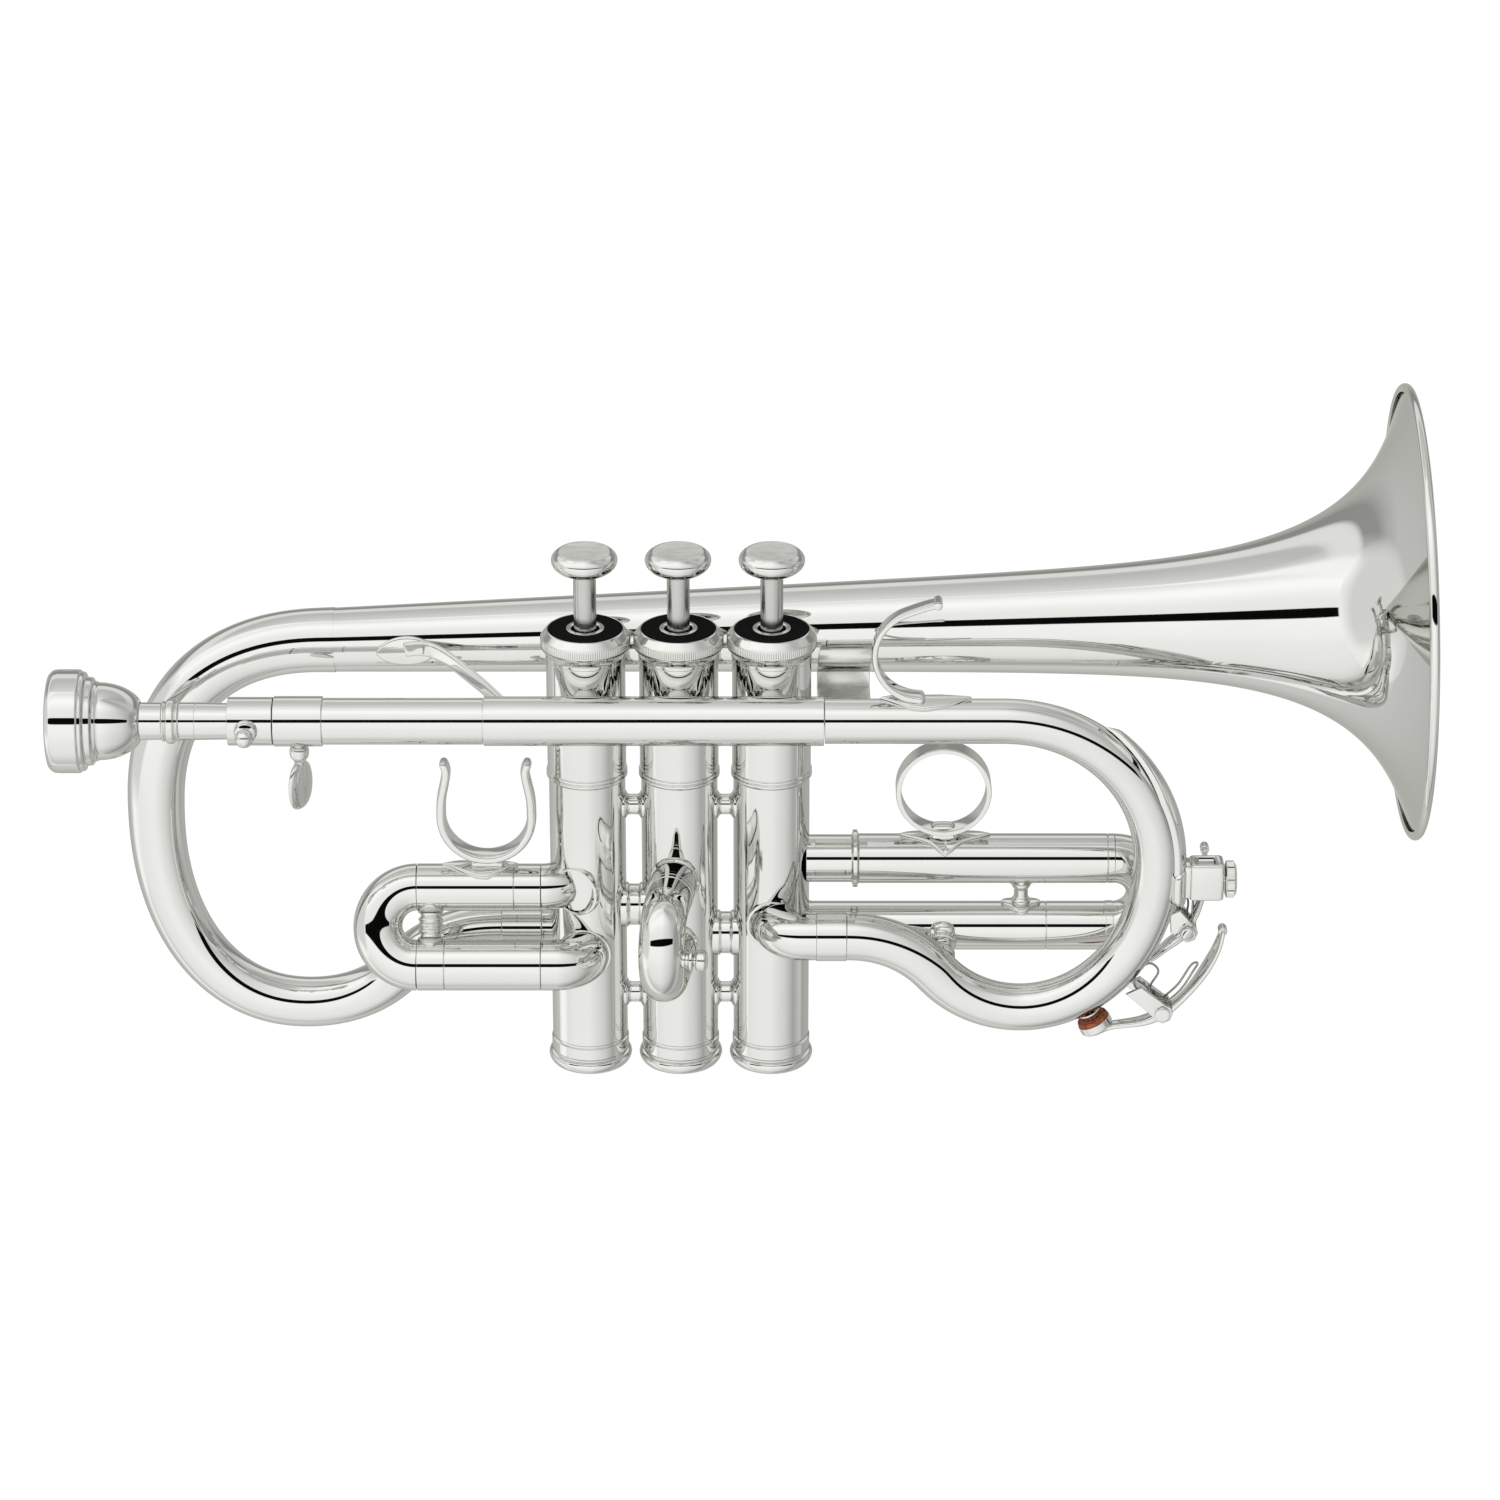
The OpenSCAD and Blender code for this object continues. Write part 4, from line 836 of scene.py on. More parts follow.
def build_caps():
    shape = Shape()
    for x in VALVES:
        shape.turned([(113.5, 8.6), (113.5, 9.05), (119.3, 9.05), (119.3, 10.6), (120.6, 10.62, 0.3),
            (121.6, 11.2, 0.4), (122.4, 11.75, 0.15), (122.8, 11.84, 0.1)], 0.2, (x, 0, 0), Z, 144)
        rows = []
        for z, lift in ((122.8, 0), (122.95, 0.5), (123.2, 1), (124.9, 1), (125.2, 0.5), (125.35, 0)):
            row = []
            for k, a in enumerate(around(360)):
                r = 11.76 + lift * 0.1 * (1 if k % 3 else -0.6)
                row.append(Vector((x + r * cos(a), r * sin(a), z)))
            rows.append(row)
        shape.grid(rows, mat=1)
        shape.turned([(125.35, 11.76), (125.6, 11.6, 0.1), (127.15, 10.25, 0.15), (127.3, 9.95, 0.15),
            (127.1, 9.8, 0.1), (125.95, 9.77, 0.05), (125.95, 5.06, 0.05), (127.45, 5.02, 0.12),
            (127.5, 4.0, 0.12), (127.25, 3.72, 0.1), (125.4, 3.62, 0.1), (121.4, 3.07)], 0.2, (x, 0, 0), Z,
            144)
    shape.make("top_cap_rings", "top_caps", silver, knurled, sharp=45)
    shape = Shape()
    for x in VALVES:
        shape.turned([(125.95, 5.1), (127.25, 5.1), (127.4, 5.4), (127.4, 9.5), (127.2, 9.74),
            (125.95, 9.74)], 0.12, (x, 0, 0), Z, 96, closed=True)
    shape.make("top_cap_felts", "cap_felts", felt, slot="black_felt")
    shape = Shape()
    for x in VALVES:
        shape.turned([(0.7, 0), (0.7, 5.5), (0, 6.4), (0, 9.0, 0.3), (0.35, 10.2, 0.5), (1.3, 10.95, 0.5),
            (2.5, 11.3, 0.6), (3.5, 10.9, 0.3), (3.8, 10.1, 0.12), (4.25, 10.1), (4.25, 8.36), (9, 8.3),
            (9, 7.1), (1.8, 7.1), (1.8, 0)], 0.2, (x, 0, 0), Z, 144)
    shape.make("bottom_cap_discs", "bottom_caps")


def build_buttons():
    for n, x in enumerate(VALVES, 1):
        low, high = box(f"stem_{n}")
        base = high.z - 6.9
        shape = Shape()
        foot = low.z + 0.5
        shape.turned([(foot, 0), (foot, 6.9), (foot + 2.4, 6.9), (foot + 2.4, 3.1), (foot + 3.0, 3.0),
            (base + 0.3, 3.0), (base + 0.3, 0)], 0.2, (x, 0, 0), Z, 64, mat=1)
        body = [(0.0, 0), (0.0, 3.3), (0.35, 4.3), (0.9, 5.6), (1.6, 6.9), (2.5, 7.95), (3.4, 8.5),
            (4.2, 8.7), (4.9, 8.66), (5.5, 8.42), (6.1, 7.95), (6.5, 7.5), (6.78, 7.15), (6.72, 6.95),
            (6.3, 6.9), (6.2, 0)]
        curve = smooth_path([Vector((r, 0, s)) for s, r in body[1:12]], 60)
        lip = rounded([(6.5, 7.5)] + body[12:], 0.1)[1:]
        outline = [(0.0, 0), (0.0, 3.2)] + [(p.z, p.x) for p in curve] + lip
        shape.lathe([(s + base, r) for s, r in outline], (x, 0, 0), Z, 112)
        shape.make(f"button_and_stem_{n}", f"stem_{n}", silver, satin, sharp=60)
        shape = Shape()
        top = high.z - 0.68
        shape.turned([(top, 0), (top, 6.88), (top + 0.45, 6.86), (top + 0.6, 6.5, 0.3), (top + 0.5, 4),
            (top + 0.42, 0)], 0.12, (x, 0, 0), Z, 96)
        shape.make(f"button_inlay_{n}", f"pearl_{n}", pearl, slot="button_pearl")


# ---------------------------------------------------------------- slides

def build_slide_1():
    top, low = Vector((0, *SLIDE_1_TOP)), Vector((0, *SLIDE_1_LOW))
    mid = (top + low) / 2
    gap = (top - low).normalized()
    bow_r = (top - low).length / 2
    seam, top_seam, low_seam, out = -70.0, -44.0, -62.5, -36.8
    shape = Shape()
    shape.pipe(top + X * top_seam, top + X * (out - 0.12), 6.3, 4.8, 0.2)
    shape.pipe(top + X * -66, top + X * (top_seam + 1), 5.5, 4.8, 0.2)
    shape.pipe(low + X * low_seam, low + X * (out - 0.12), 6.8, 6.25, 0.22)
    shape.make("slide_1_fixed_tubes", "slide1_outer")
    shape = Shape()
    shape.pipe(top + X * (seam + 0.07), top + X * (top_seam - 0.14), 6.32, 5.56, 0.2)
    shape.pipe(low + X * (seam + 0.07), low + X * (low_seam - 0.14), 6.8, 5.7, 0.22)
    shape.pipe(low + X * (low_seam - 1), low + X * -40, 6.19, 5.7, 0.2)
    shape.make("slide_1_legs_tubes", "slide1_legs")
    shape = Shape()
    path = half_turn(mid + X * (seam - 0.07), gap, -X, bow_r)
    normal = gap.cross(X)
    shape.tube(path, lambda t: 6.3 + 0.5 * ease(t), 0.55, ref=normal, seg=72)
    shape.make("slide_1_bow_tube", "slide1_bow", sharp=75)
    x = -66.4
    shape = Shape()
    hexagon = [(3.3, -2.2), (3.3, 2.2), (0.9, 5.0), (-0.9, 5.0), (-3.3, 2.2), (-3.3, -2.2), (-0.9, -5.0),
        (0.9, -5.0)]
    dense = []
    for i, p in enumerate(hexagon):
        q = hexagon[(i + 1) % len(hexagon)]
        dense += [tuple(Vector(p).lerp(Vector(q), k / 5)) for k in range(5)]
    shape.pad(dense, top + X * x, 6.34, 0.75, out=-gap, edge=0.4)
    shape.pad(dense, low + X * x, 6.84, 0.75, out=gap, edge=0.4)
    a, b = low + X * x + gap * 7.4, top + X * x - gap * 6.9
    h = (b - a).length
    ridge = []
    for k in range(49):
        t = k / 48
        s = h * t
        bulge = 2.45 + 0.8 * sin(pi * t) ** 0.6
        ridge.append((s, bulge + 0.22 * cos(2 * pi * t * 4)))
    shape.lathe([(0, 0)] + ridge + [(h, 0)], a, b - a, 64)
    shape.make("slide_1_stay", "slide1_brace", sharp=60)
    x, z = -51.1, SLIDE_1_TOP[1] + 6.3 + 14.9
    r = 12.0
    cradle = [Vector((x - r + 1.0, top.y, z + 15.0)), Vector((x - r + 1.6, top.y, z + 13.2)),
        Vector((x - r + 1.2, top.y, z + 10.2)), Vector((x - r + 0.2, top.y, z + 5.0))]
    path = smooth_path(cradle + [Vector((x - r, top.y, z))], 30)[:-1] + arc((x, top.y, z), r, 180, 360, 70)
    path += smooth_path([Vector((x + r, top.y, z))] + [Vector((2 * x - p.x, p.y, p.z))
        for p in reversed(cradle)], 30)[1:]

    def width(t):
        return 6.6 - 1.8 * abs(2 * t - 1) ** 3

    def thick(t):
        return 2.75 - 0.35 * abs(2 * t - 1)
    shape = Shape()
    shape.ribbon(even(path, 150), width, thick, power=3.2)
    shape.block((x - 4.3, top.y - 2.3, top.z + 6.6), (x + 4.3, top.y + 2.3, top.z + 8.6), 0.7)
    foot = [(-10.6, 0), (-6.5, -2.3), (-1.6, -4.7), (1.6, -5.0), (4.6, -3.2), (9.6, 0), (4.6, 3.2),
        (1.6, 5.0), (-1.6, 4.7), (-6.5, 2.3)]
    shape.pad(foot, (x - 1.4, top.y, top.z), 6.34, 0.95)
    shape.make("thumb_cradle", "thumb_saddle", sharp=60)


SLIDE_2 = Vector(joint("slide_2_pull")["axis"]).normalized()
SLIDE_2_SIDE = Z.cross(SLIDE_2)


def build_slide_2():
    r = 6.05
    low, high = box("slide2_outer")
    top_z, gap = high.z - r, high.z - low.z - 2 * r
    side = SLIDE_2_SIDE
    seam = 19.0
    bow = 36.8 - gap / 2
    shape = Shape()
    for z in (top_z, top_z - gap):
        shape.turned([(9.3, r - 0.5), (9.3, r), (9.9, r + 0.75, 0.3), (10.6, r + 0.6, 0.3), (11.3, r, 0.2),
            (seam - 1.7, r, 0.1), (seam - 1.6, r + 0.22, 0.1), (seam, r + 0.22, 0.15), (seam, r - 0.5)],
            0.15, (0, 0, z), SLIDE_2, 80, closed=True)
    shape.make("slide_2_fixed_tubes", "slide2_outer")
    shape = Shape()
    for z in (top_z, top_z - gap):
        shape.pipe(Z * z + SLIDE_2 * 11, Z * z + SLIDE_2 * bow, r - 0.56, r - 1.0, 0.15)
    shape.make("slide_2_legs_tubes", "slide2_legs")
    shape = Shape()
    mid = Vector((0, 0, top_z - gap / 2)) + SLIDE_2 * bow
    for z in (top_z, top_z - gap):
        shape.turned([(seam + 0.12, r - 0.54), (seam + 0.12, r + 0.2, 0.15), (seam + 1.5, r + 0.2, 0.12),
            (seam + 1.6, r, 0.08), (bow, r), (bow, r - 0.6)], 0.12, (0, 0, z), SLIDE_2, 80, closed=True)
    path = half_turn(mid, Z, SLIDE_2, gap / 2)
    shape.tube(path, lambda t: r - 0.02, 0.8, ref=side, seg=80)
    shape.make("slide_2_bow_tube", "slide2_bow", sharp=70)
    shape = Shape()
    way = side if (centre("slide2_knob") - mid).dot(side) > 0 else -side
    base = mid + SLIDE_2 * gap / 2 + way * (r - 0.5)
    outline = [(0, 0), (0, 2.2), (0.8, 2.25), (1.0, 1.8), (1.7, 1.8), (2.0, 2.9, 0.25), (2.8, 2.9, 0.3),
        (3.1, 1.25, 0.15), (3.6, 1.2, 0.15), (3.7, 2.4, 0.5), (4.2, 2.8, 0.5), (6.1, 2.8, 0.7),
        (6.6, 2.0, 0.6), (6.7, 0)]
    shape.turned(outline, 0.15, base, way, 56)
    shape.make("slide_2_pull_knob", "slide2_knob")


def build_slide_3():
    top, low = Z * SLIDE_3_TOP_Z, Z * SLIDE_3_LOW_Z
    seam, low_seam, bow, flange = 114.3, 98.2, 116.2, 46.9
    shape = Shape()
    x0 = VALVES[2] + 9.3
    shape.turned([(x0, 6.0), (x0, 6.42), (flange - 1.0, 6.4, 0.2), (flange - 0.7, 6.9, 0.2),
        (flange - 0.62, 7.75, 0.3), (flange + 0.62, 7.75, 0.3), (flange + 0.75, 6.9, 0.2),
        (flange + 1.1, 6.68, 0.2), (seam, 6.68), (seam, 6.0)], 0.2, top, X, 96, closed=True)
    shape.turned([(x0, 6.0), (x0, 6.75), (x0 + 1.0, 6.8, 0.2), (x0 + 1.6, 6.6, 0.2), (low_seam, 6.6),
        (low_seam, 6.05)], 0.2, low, X, 96, closed=True)
    shape.make("slide_3_fixed_tubes", "slide3_outer")
    shape = Shape()
    shape.pipe(top + X * 58, top + X * bow, 5.99, 5.55, 0.15)
    shape.pipe(low + X * 48, low + X * bow, 5.99, 5.55, 0.15)
    shape.make("slide_3_legs_tubes", "slide3_legs")
    shape = Shape()
    for at, x, r, swell in ((top, seam, 6.65, 0), (low, low_seam, 6.6, 0.15)):
        step = [(seam - 0.1, r), (seam, r + swell)] if swell else []
        outline = [(x + 0.14, r - 0.6), (x + 0.14, r)] + step + [(bow, r + swell), (bow, r - 0.6)]
        shape.turned(outline, 0.14, at, X, 96, closed=True)
    mid = (top + low) / 2 + X * bow
    path = half_turn(mid, Z, X, (SLIDE_3_TOP_Z - SLIDE_3_LOW_Z) / 2)
    shape.tube(path, lambda t: 6.62, 0.62, ref=Y, seg=80)
    shape.make("slide_3_bow_tube", "slide3_bow", sharp=70)
    x, r = 70.3, 11.3
    z = SLIDE_3_TOP_Z + 6.65 + r + 2.6
    shape = Shape()
    shape.turned([(-3.2, r + 0.15, 0.1), (-3.2, r + 1.3), (-2.8, r + 1.45, 0.3), (2.8, r + 1.45, 0.3),
        (3.2, r + 1.3), (3.2, r + 0.15), (2.8, r, 0.3), (-2.8, r, 0.3)], 0.2, (x, 0, z), Y, 144, closed=True)
    neck = [Vector((x, 0, 67.2)), Vector((x, 0, z - r - 0.9))]
    shape.ribbon([neck[0].lerp(neck[1], k / 10) for k in range(11)],
        lambda t: mix(11.5, 7.4, sin(pi * min(1, t * 1.4) / 2)), 4.8, ref=X, power=3)
    foot = []
    for k in range(72):
        t = 4 * k / 72
        q, f = int(t), t - int(t)
        ends = [(12.2, 0), (0, 7.2), (-12.2, 0), (0, -7.2)]
        p = Vector(ends[q]).lerp(Vector(ends[(q + 1) % 4]), f) * (1 - 0.16 * sin(pi * f) ** 2)
        foot.append((p.x, p.y))
    shape.pad(foot, (x + 0.5, 0, SLIDE_3_TOP_Z), 6.7, 0.85)
    shape.make("ring_finger_ring", "finger_ring", sharp=60)


# ---------------------------------------------------------------- water keys

CORK_TOP, CORK_LOW = 7.9, 10.6
COIL_WIRE_R, LOOP_WIRE_R = 0.28, 0.3
COIL_TURNS, COIL_R = 5, 2.35


def build_key(n, at, turn, hinge, arm, post, tube_r, loops):
    u = Vector((cos(radians(turn)), 0, sin(radians(turn))))
    w = Vector((-u.z, 0, u.x))

    def place(a, b, y=0.0):
        return Vector(at) + u * a + w * b + Y * y
    shape = Shape()
    shape.turned([(tube_r - 0.3, 3.1), (tube_r + 0.3, 3.0), (tube_r + 0.5, 2.7), (CORK_TOP - 0.15, 2.6),
        (CORK_TOP, 2.3), (CORK_TOP, 1.4), (tube_r, 1.4)], 0.12, at, -w, 64)
    for y in (-1, 1):
        shape.slab(post, 1.3, lambda a, b, h, y=y: place(a, b, y * 3.0 + h), 0.3)
    h = place(*hinge)
    for y in (-1, 1):
        octagon = rounded([(0, 0), (0, 2.8), (1.5, 2.8), (1.5, 0)], 0.25)
        shape.lathe(octagon, h + Y * y * 2.3, Y * y, 8)
    head = rounded([(0, 0), (0, 2.15), (0.9, 2.1), (1.1, 1.7), (1.15, 0)], 0.2)
    shape.lathe(head, h - Y * 3.7, -Y, 40)
    shape.turned([(-3.6, 0), (-3.6, 0.85), (3.6, 0.85), (3.6, 0)], 0.1, h, Y, 24)
    shape.make(f"key_{n}_post_and_screw", f"key{n}_saddle", sharp=40)

    shape = Shape()
    path = even(smooth_path([place(*p) for p in arm], 80), 80)

    def width(t):
        waist = 0.8 * exp(-((t - 0.12) / 0.1) ** 2)
        return 4.2 + 3.6 * ease((t - 0.52) * 3.5) - 1.6 * ease((t - 0.88) * 8) - waist

    def thick(t):
        knuckle = 0.9 * exp(-((t - 0.36) / 0.1) ** 2)
        return 1.75 + knuckle - 0.35 * ease((t - 0.7) * 4)
    shape.ribbon(path, width, thick, power=3)
    shape.turned([(-2.1, 0), (-2.1, 2.0), (2.1, 2.0), (2.1, 0)], 0.3, h, Y, 48)
    shape.turned([(-1.7, 0), (-1.7, 1.2), (1.7, 1.2), (1.7, 0)], 0.5, path[-1], Y, 40)
    cup = rounded([(CORK_LOW - 1.3, 4.12), (CORK_LOW - 1.5, 4.5), (CORK_LOW + 0.6, 4.55),
        (CORK_LOW + 1.3, 3.9, 0.5), (CORK_LOW + 1.45, 0)], 0.2)
    shape.lathe(cup, at, -w, 72)
    shape.lathe([(CORK_LOW - 1.3, 4.12), (CORK_LOW + 0.03, 4.12), (CORK_LOW + 0.03, 0)], at, -w, 72)
    shape.make(f"key_{n}_lever", f"key{n}_lever", sharp=60)

    shape = Shape()
    shape.turned([(CORK_TOP + 0.05, 0), (CORK_TOP + 0.05, 4.15), (CORK_TOP + 0.7, 4.3, 0.3),
        (CORK_LOW, 4.05), (CORK_LOW, 0)], 0.25, at, -w, 64)
    shape.make(f"key_{n}_cork_disc", f"key{n}_cork", cork, slot="cork")

    shape = Shape()
    wire = []
    for k in range(121):
        a = 2 * pi * COIL_TURNS * k / 120
        wire.append(h + Y * mix(-2.2, 2.2, k / 120) + (u * cos(a) + w * sin(a)) * COIL_R)
    shape.sweep(wire, lambda t: ring(COIL_WIRE_R, 10), Z)
    for loop in loops:
        path = even(smooth_path([place(*p) for p in loop], 60), 90)
        shape.sweep(path, lambda t: ring(LOOP_WIRE_R, 10), Y)
    shape.make(f"key_{n}_spring_wire", f"key{n}_spring", steel, slot="spring_wire", sharp=60)


def build_keys():
    build_key(1, (106.6, LEAD_Y, 28.7), 27, (17.8, -14.2), [(-1, -12.3), (3, -12.6), (7, -13.9),
        (11.5, -15.3), (16.0, -15.6), (20.5, -15.0), (25.5, -13.2), (31, -10.2), (36.5, -6.4), (40.2, -3.0),
        (42.2, -0.4)], [(11.6, -4.6), (16.2, -4.6), (19.8, -12.6), (19.0, -16.0), (15.6, -16.0),
        (14.2, -11.4)], FRONT_R, [[(17.6, -11.6, -1.2), (16.2, -8.2, -1.2), (14.4, -4.6, -1.2),
        (16.4, -1.2, -1.0), (20.6, -0.6, 0), (21.6, -4.4, 1.0), (17.6, -7.6, 1.2), (16.6, -11.8, 1.2)],
        [(19.6, -12.6, -1.4), (25, -10.9, -1.2), (30.4, -7.4, -1.0), (32.2, -6.4, 0), (30.2, -6.6, 1.0),
        (24.6, -10.3, 1.2), (19.4, -12.2, 1.4)]])
    build_key(2, (118.3, 0, 40.5), 12, (17.5, -4.6), [(-1, -12.3), (3, -12.4), (7, -11.3), (11.5, -8.6),
        (16.4, -5.9), (20.4, -1.2), (23.4, 5.0), (25.2, 11.4), (26.3, 17.8)],
        [(13.0, -3.6), (13.8, 1.8), (16.8, 2.4), (19.6, -3.2), (18.6, -6.8), (15.8, -6.8)], 6.62,
        [[(17.4, -2.4, -1.3), (16.0, 1.4, -1.2), (17.2, 4.6, -0.8), (18.6, 4.8, 0.4), (19.2, 2.2, 1.2),
        (17.8, -2.2, 1.3)], [(19.2, -2.6, -1.3), (20.2, 2.0, -1.1), (21.4, 6.2, 0), (20.6, 2.2, 1.1),
        (19.4, -2.4, 1.3)]])


# ---------------------------------------------------------------- lyre holder

def round_box(mid, hx, hy, r, z, n=8):
    out = []
    for cx, cy, a0 in ((1, 1, 0), (-1, 1, 90), (-1, -1, 180), (1, -1, 270)):
        for k in range(n + 1):
            a = radians(a0 + 90 * k / n)
            out.append(Vector((mid.x + cx * (hx - r) + r * cos(a), mid.y + cy * (hy - r) + r * sin(a), z)))
    return out


def build_lyre():
    mid = Vector((139.5, LEAD_Y, 0))
    z0, z1 = 57.6, 67.9
    shape = Shape()
    rows = []
    for inset, z in ((0.5, z0), (0.1, z0 + 0.25), (0, z0 + 0.6), (0, z1 - 0.7), (0.12, z1 - 0.3),
            (0.55, z1)):
        rows.append(round_box(mid, 4.5 - inset, 3.7 - inset, 1.0 - inset * 0.6, z))
    for inset, z in ((0.25, z1), (0.0, z1 - 0.25), (0, z0 + 0.25), (0.25, z0)):
        rows.append(round_box(mid, 2.4 + inset, 2.2 + inset, 0.5, z))
    shape.grid(rows, wrap_u=True)
    flange = round_box(Vector((0, 0, 0)), 5.0, 5.4, 2.2, 0, 10)
    shape.pad([(p.x, p.y) for p in flange], (FRONT_BEND.x + 40.6, LEAD_Y, 61.4), FRONT_R, 2.3, along=Z,
        out=X, sink=0.1)
    shape.block((133.6, LEAD_Y - 3.2, z0 + 0.6), (135.6, LEAD_Y + 3.2, z1 - 0.6), 0.3)
    shape.make("lyre_socket_box", "lyre_box", sharp=50)
    shape = Shape()
    rows = []
    x1, screw_z = 144.35, 62.4
    for dx, r, teeth in ((0, 2.2, 0), (0, 3.9, 0), (0.25, 4.6, 0), (0.45, 4.95, 1), (2.35, 4.95, 1),
            (2.6, 4.5, 0), (3.0, 3.9, 0), (3.05, 1.6, 0)):
        row = []
        for k, a in enumerate(around(168)):
            cut_r = r - teeth * 0.16 * (k % 3 == 0)
            row.append(Vector((x1 + dx, LEAD_Y + cut_r * cos(a), screw_z + cut_r * sin(a))))
        rows.append(row)
    shape.grid(rows)
    shape.fan(rows[-1], Vector((x1 + 3.05, LEAD_Y, screw_z)))
    shape.fan(rows[0], Vector((x1, LEAD_Y, screw_z)))
    shape.turned([(x1 - 2.3, 0), (x1 - 2.3, 1.2), (x1 + 0.2, 1.2), (x1 + 0.2, 0)], 0.15,
        (0, LEAD_Y, screw_z), X, 32)
    shape.make("lyre_clamp_screw", "lyre_screw", sharp=40)


# ---------------------------------------------------------------- hidden works

def finish_hidden():
    """Parts that only show when the instrument is taken apart keep their CAD shape."""
    finishes = {"valve_guides": nylon}
    for n in (1, 2, 3):
        finishes.update({f"piston_{n}": nickel, f"valve_spring_{n}": steel})
    for node, finish in finishes.items():
        mesh = frame["nodes"][node].data
        mesh.materials.clear()
        mesh.materials.append(finish)


# ---------------------------------------------------------------- studio

def build_camera():
    target = Vector((18.8, 0, 92.1)) * MM
    tilt = radians(24.5)
    camera = bpy.data.objects.new("camera", bpy.data.cameras.new("camera"))
    camera.location = target + Vector((0, -cos(tilt), sin(tilt))) * 1.450
    camera.rotation_euler = (pi / 2 - tilt, 0, 0)
    camera.data.sensor_width = 36
    camera.data.lens = 131.2
    camera.data.clip_start = 0.05
    bpy.context.scene.collection.objects.link(camera)
    bpy.context.scene.camera = camera


SLOT = (16.8, 31.2)
SLOT_SIDE = 58.5
SILVER_REFLECTANCE = 0.80


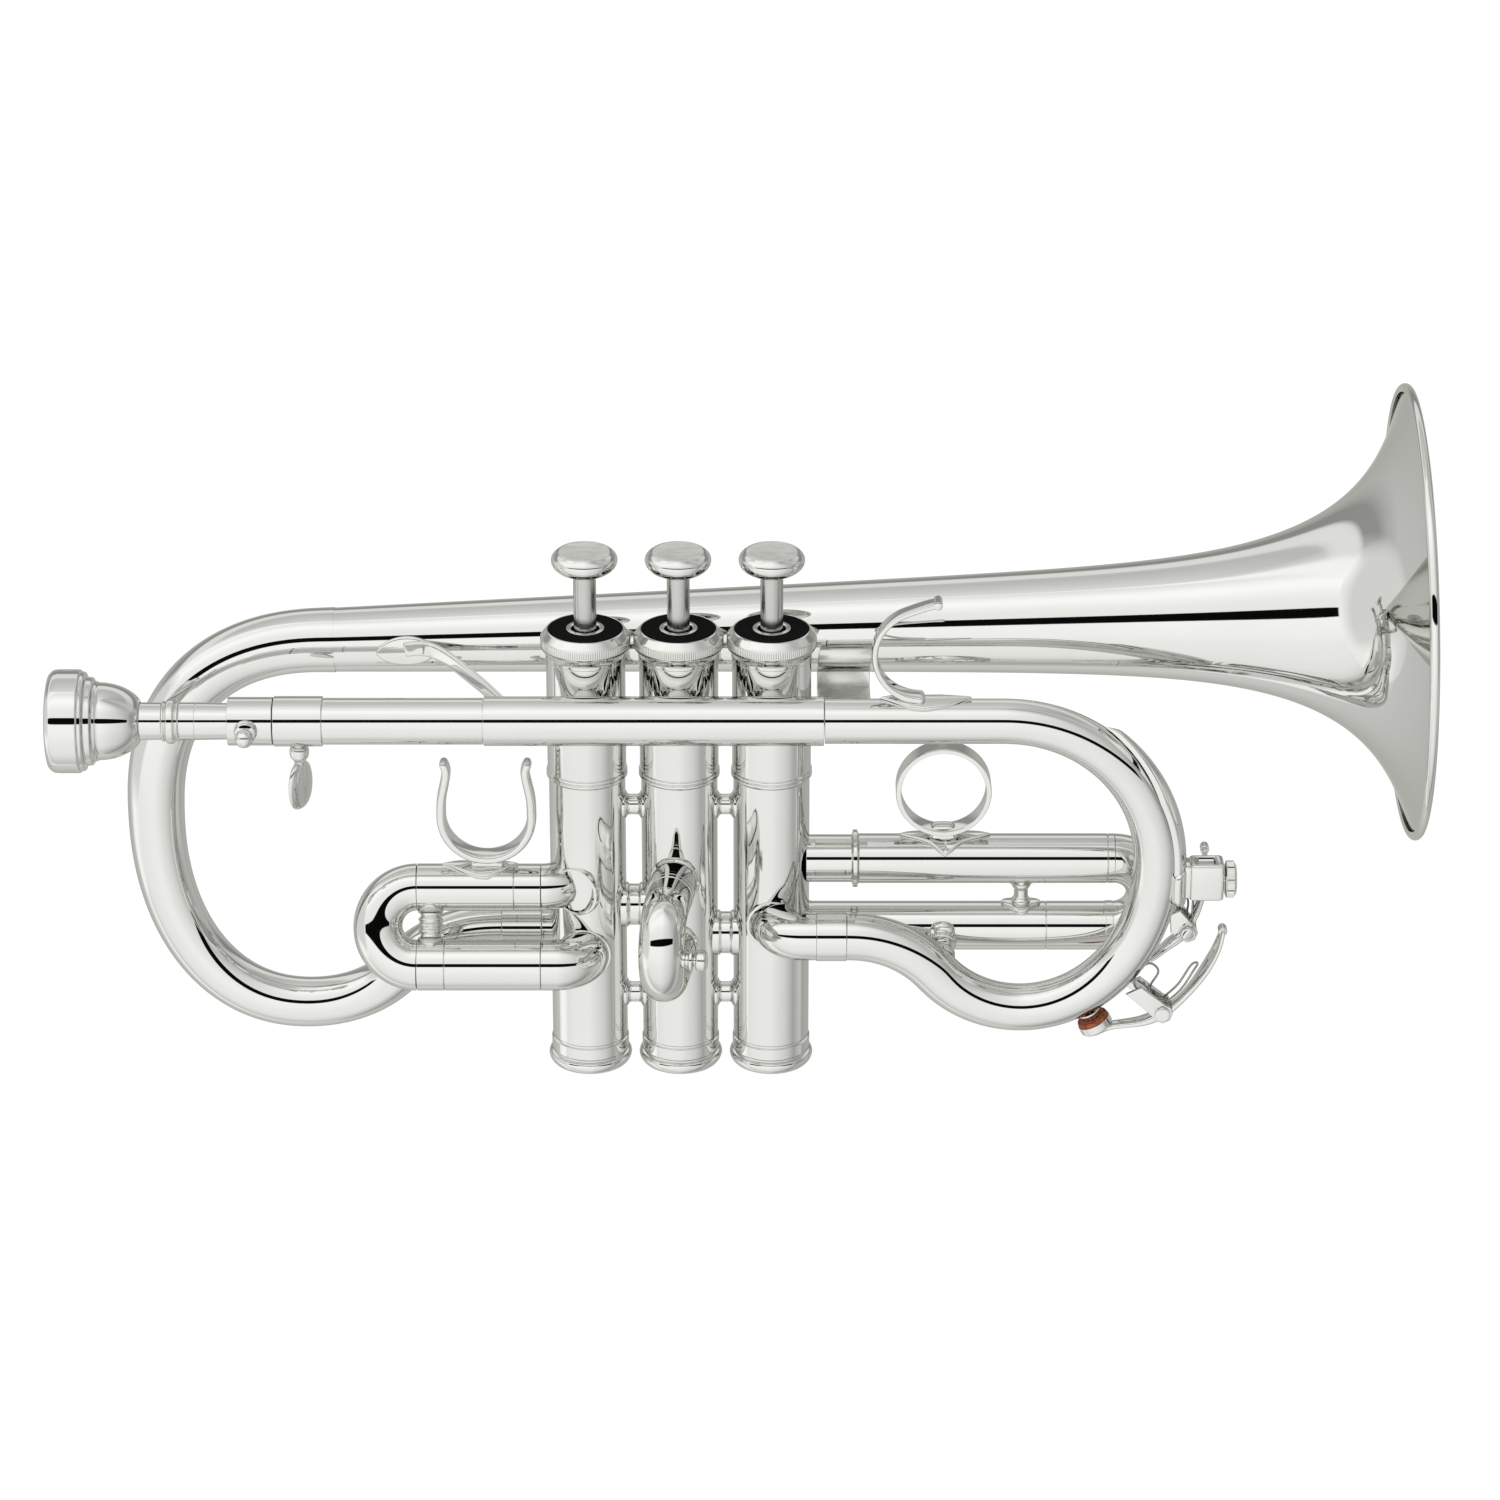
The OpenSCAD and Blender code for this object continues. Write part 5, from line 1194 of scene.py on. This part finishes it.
def build_world():
    """A white light tent with bright panels, a dark slot at lens height, and greyer sides and back."""
    world = bpy.data.worlds.new("light_tent")
    bpy.context.scene.world = world
    world.use_nodes = True
    tree = world.node_tree
    link = tree.links.new
    background = tree.nodes["Background"]
    coords = add_node(tree, "ShaderNodeTexCoord")
    split = add_node(tree, "ShaderNodeSeparateXYZ")
    link(coords.outputs["Generated"], split.inputs[0])

    def calc(operation, a, b=None):
        made = add_node(tree, "ShaderNodeMath", operation=operation)
        for i, value in enumerate((a, b)):
            if isinstance(value, (int, float)):
                made.inputs[i].default_value = value
            elif value is not None:
                link(value, made.inputs[i])
        return made.outputs[0]

    def ramp(value, stops):
        made = add_node(tree, "ShaderNodeFloatCurve")
        curve = made.mapping.curves[0]
        low, high = stops[0][0], stops[-1][0]
        spread = add_node(tree, "ShaderNodeMapRange")
        put(spread, {"From Min": low, "From Max": high})
        link(value, spread.inputs["Value"])
        points = [((x - low) / (high - low), y / 2) for x, y in stops]
        curve.points[0].location = points[0]
        curve.points[1].location = points[-1]
        for p in points[1:-1]:
            curve.points.new(*p)
        for p in curve.points:
            p.handle_type = "VECTOR"
        made.mapping.update()
        link(spread.outputs["Result"], made.inputs["Value"])
        return calc("MULTIPLY", made.outputs["Value"], 2)

    def in_degrees(angle):
        return calc("MULTIPLY", angle, 180 / pi)
    x, y, z = split.outputs
    forward = calc("MULTIPLY", y, -1)
    height = in_degrees(calc("ARCSINE", z))
    turn = in_degrees(calc("ARCTAN2", calc("MULTIPLY", x, -1), forward))
    away = calc("ABSOLUTE", turn)
    tilt = in_degrees(calc("ARCTAN2", z, forward))
    sideways = in_degrees(calc("ARCSINE", calc("ABSOLUTE", x)))
    low_room = [(-90, 0.55), (-79, 0.55), (-72, 0.62), (-65, 0.69), (-58, 0.75), (-40, 0.79), (-24, 0.81),
        (-10, 0.86), (5, 0.88)]
    front = ramp(tilt, low_room + [(SLOT[0] - 0.4, 0.89), (SLOT[0] + 0.2, 0.003), (SLOT[1] - 0.2, 0.003),
        (SLOT[1] + 0.4, 0.80), (42, 0.81), (48, 0.83), (55, 0.87), (61, 0.92), (66, 0.95), (72, 0.95),
        (78, 0.88), (82, 0.82), (86, 0.77), (90, 0.72)])
    back = ramp(height, [(-90, 0.55), (-83, 0.60), (-60, 0.55), (-30, 0.52), (0, 0.50), (8, 0.40),
        (14, 0.28), (24, 0.27), (27.5, 0.66), (30, 0.72), (40, 0.72), (44, 0.66), (47, 0.50), (52, 0.48),
        (58, 0.50), (67, 0.54), (75, 0.59), (83, 0.66), (90, 0.72)])
    side = ramp(height, low_room + [(20, 0.84), (45, 0.80), (62, 0.86), (75, 0.82), (90, 0.72)])
    end_panel = ramp(height, [(-90, 0.66), (-14, 0.66), (0, 0.63), (30, 0.63), (50, 0.59), (70, 0.56),
        (90, 0.56)])
    above_floor = ramp(height, [(-90, 0), (-20, 0), (-12, 1), (90, 1)])
    soft_edge = ramp(sideways, [(0, 0), (SLOT_SIDE, 0), (SLOT_SIDE + 9, 1), (90, 1)])
    panel_edge = ramp(sideways, [(0, 0), (SLOT_SIDE - 0.3, 0), (SLOT_SIDE + 0.3, 1), (90, 1)])
    white_post = ramp(away, [(0, 0), (74, 0), (86, 1), (100, 1), (108, 0), (180, 0)])
    to_back = ramp(away, [(0, 0), (96, 0), (122, 1), (180, 1)])
    right_fade = ramp(turn, [(-180, 1), (-140, 0.9), (-104, 0.62), (-84, 0.47), (-70, 0.48), (-59, 0.6),
        (-46, 0.74), (-33, 0.82), (-21, 0.88), (-2, 0.985), (8, 1.0), (180, 1)])

    def blend(a, b, t):
        return calc("ADD", calc("MULTIPLY", a, calc("SUBTRACT", 1, t)), calc("MULTIPLY", b, t))
    light = blend(front, side, panel_edge)
    post_light, post_share = 0.97, 0.7
    light = blend(light, post_light, calc("MULTIPLY", white_post, post_share))
    light = blend(light, back, to_back)
    light = blend(light, end_panel, calc("MULTIPLY", soft_edge, above_floor))
    light = calc("MULTIPLY", light, right_fade)
    tint = add_node(tree, "ShaderNodeCombineColor")
    link(light, tint.inputs[0])
    link(light, tint.inputs[1])
    warmth = 0.985
    link(calc("MULTIPLY", light, warmth), tint.inputs[2])
    link(tint.outputs[0], background.inputs["Color"])
    background.inputs["Strength"].default_value = 1 / SILVER_REFLECTANCE


FLOOR_R = 4.0


def build_floor():
    mesh = bpy.data.meshes.new("floor")
    mesh.from_pydata([(x, y, -0.0002) for x, y in ring(FLOOR_R, 96)], [], [tuple(range(96))])
    made, tree, shader = material("pale_floor")
    put(shader, {"Roughness": 0.9, "Base Color": (0.12, 0.12, 0.12, 1), "Emission Strength": 1.0})
    tree.links.new(mixed_colour(tree, noise_map(tree, 6.0, 0, 1), (0.93, 0.93, 0.925), (0.95, 0.95, 0.945)),
        shader.inputs["Emission Color"])
    mesh.materials.append(made)
    floor = bpy.data.objects.new("floor", mesh)
    floor.visible_glossy = False
    bpy.context.scene.collection.objects.link(floor)


build_camera()
for build in (build_bell, build_bell_crook, build_front_crook, build_ferrules, build_knuckles, build_guard,
        build_bell_braces, build_leadpipe, build_shank, build_mouthpiece, build_thumb_screw,
        build_pinky_hook, build_casings, build_valve_tubes, build_braces, build_caps, build_buttons,
        build_slide_1, build_slide_2, build_slide_3, build_keys, build_lyre, finish_hidden, build_world,
        build_floor):
    build()
bpy.context.scene.view_settings.view_transform = "Standard"
bpy.context.scene.view_settings.look = "None"
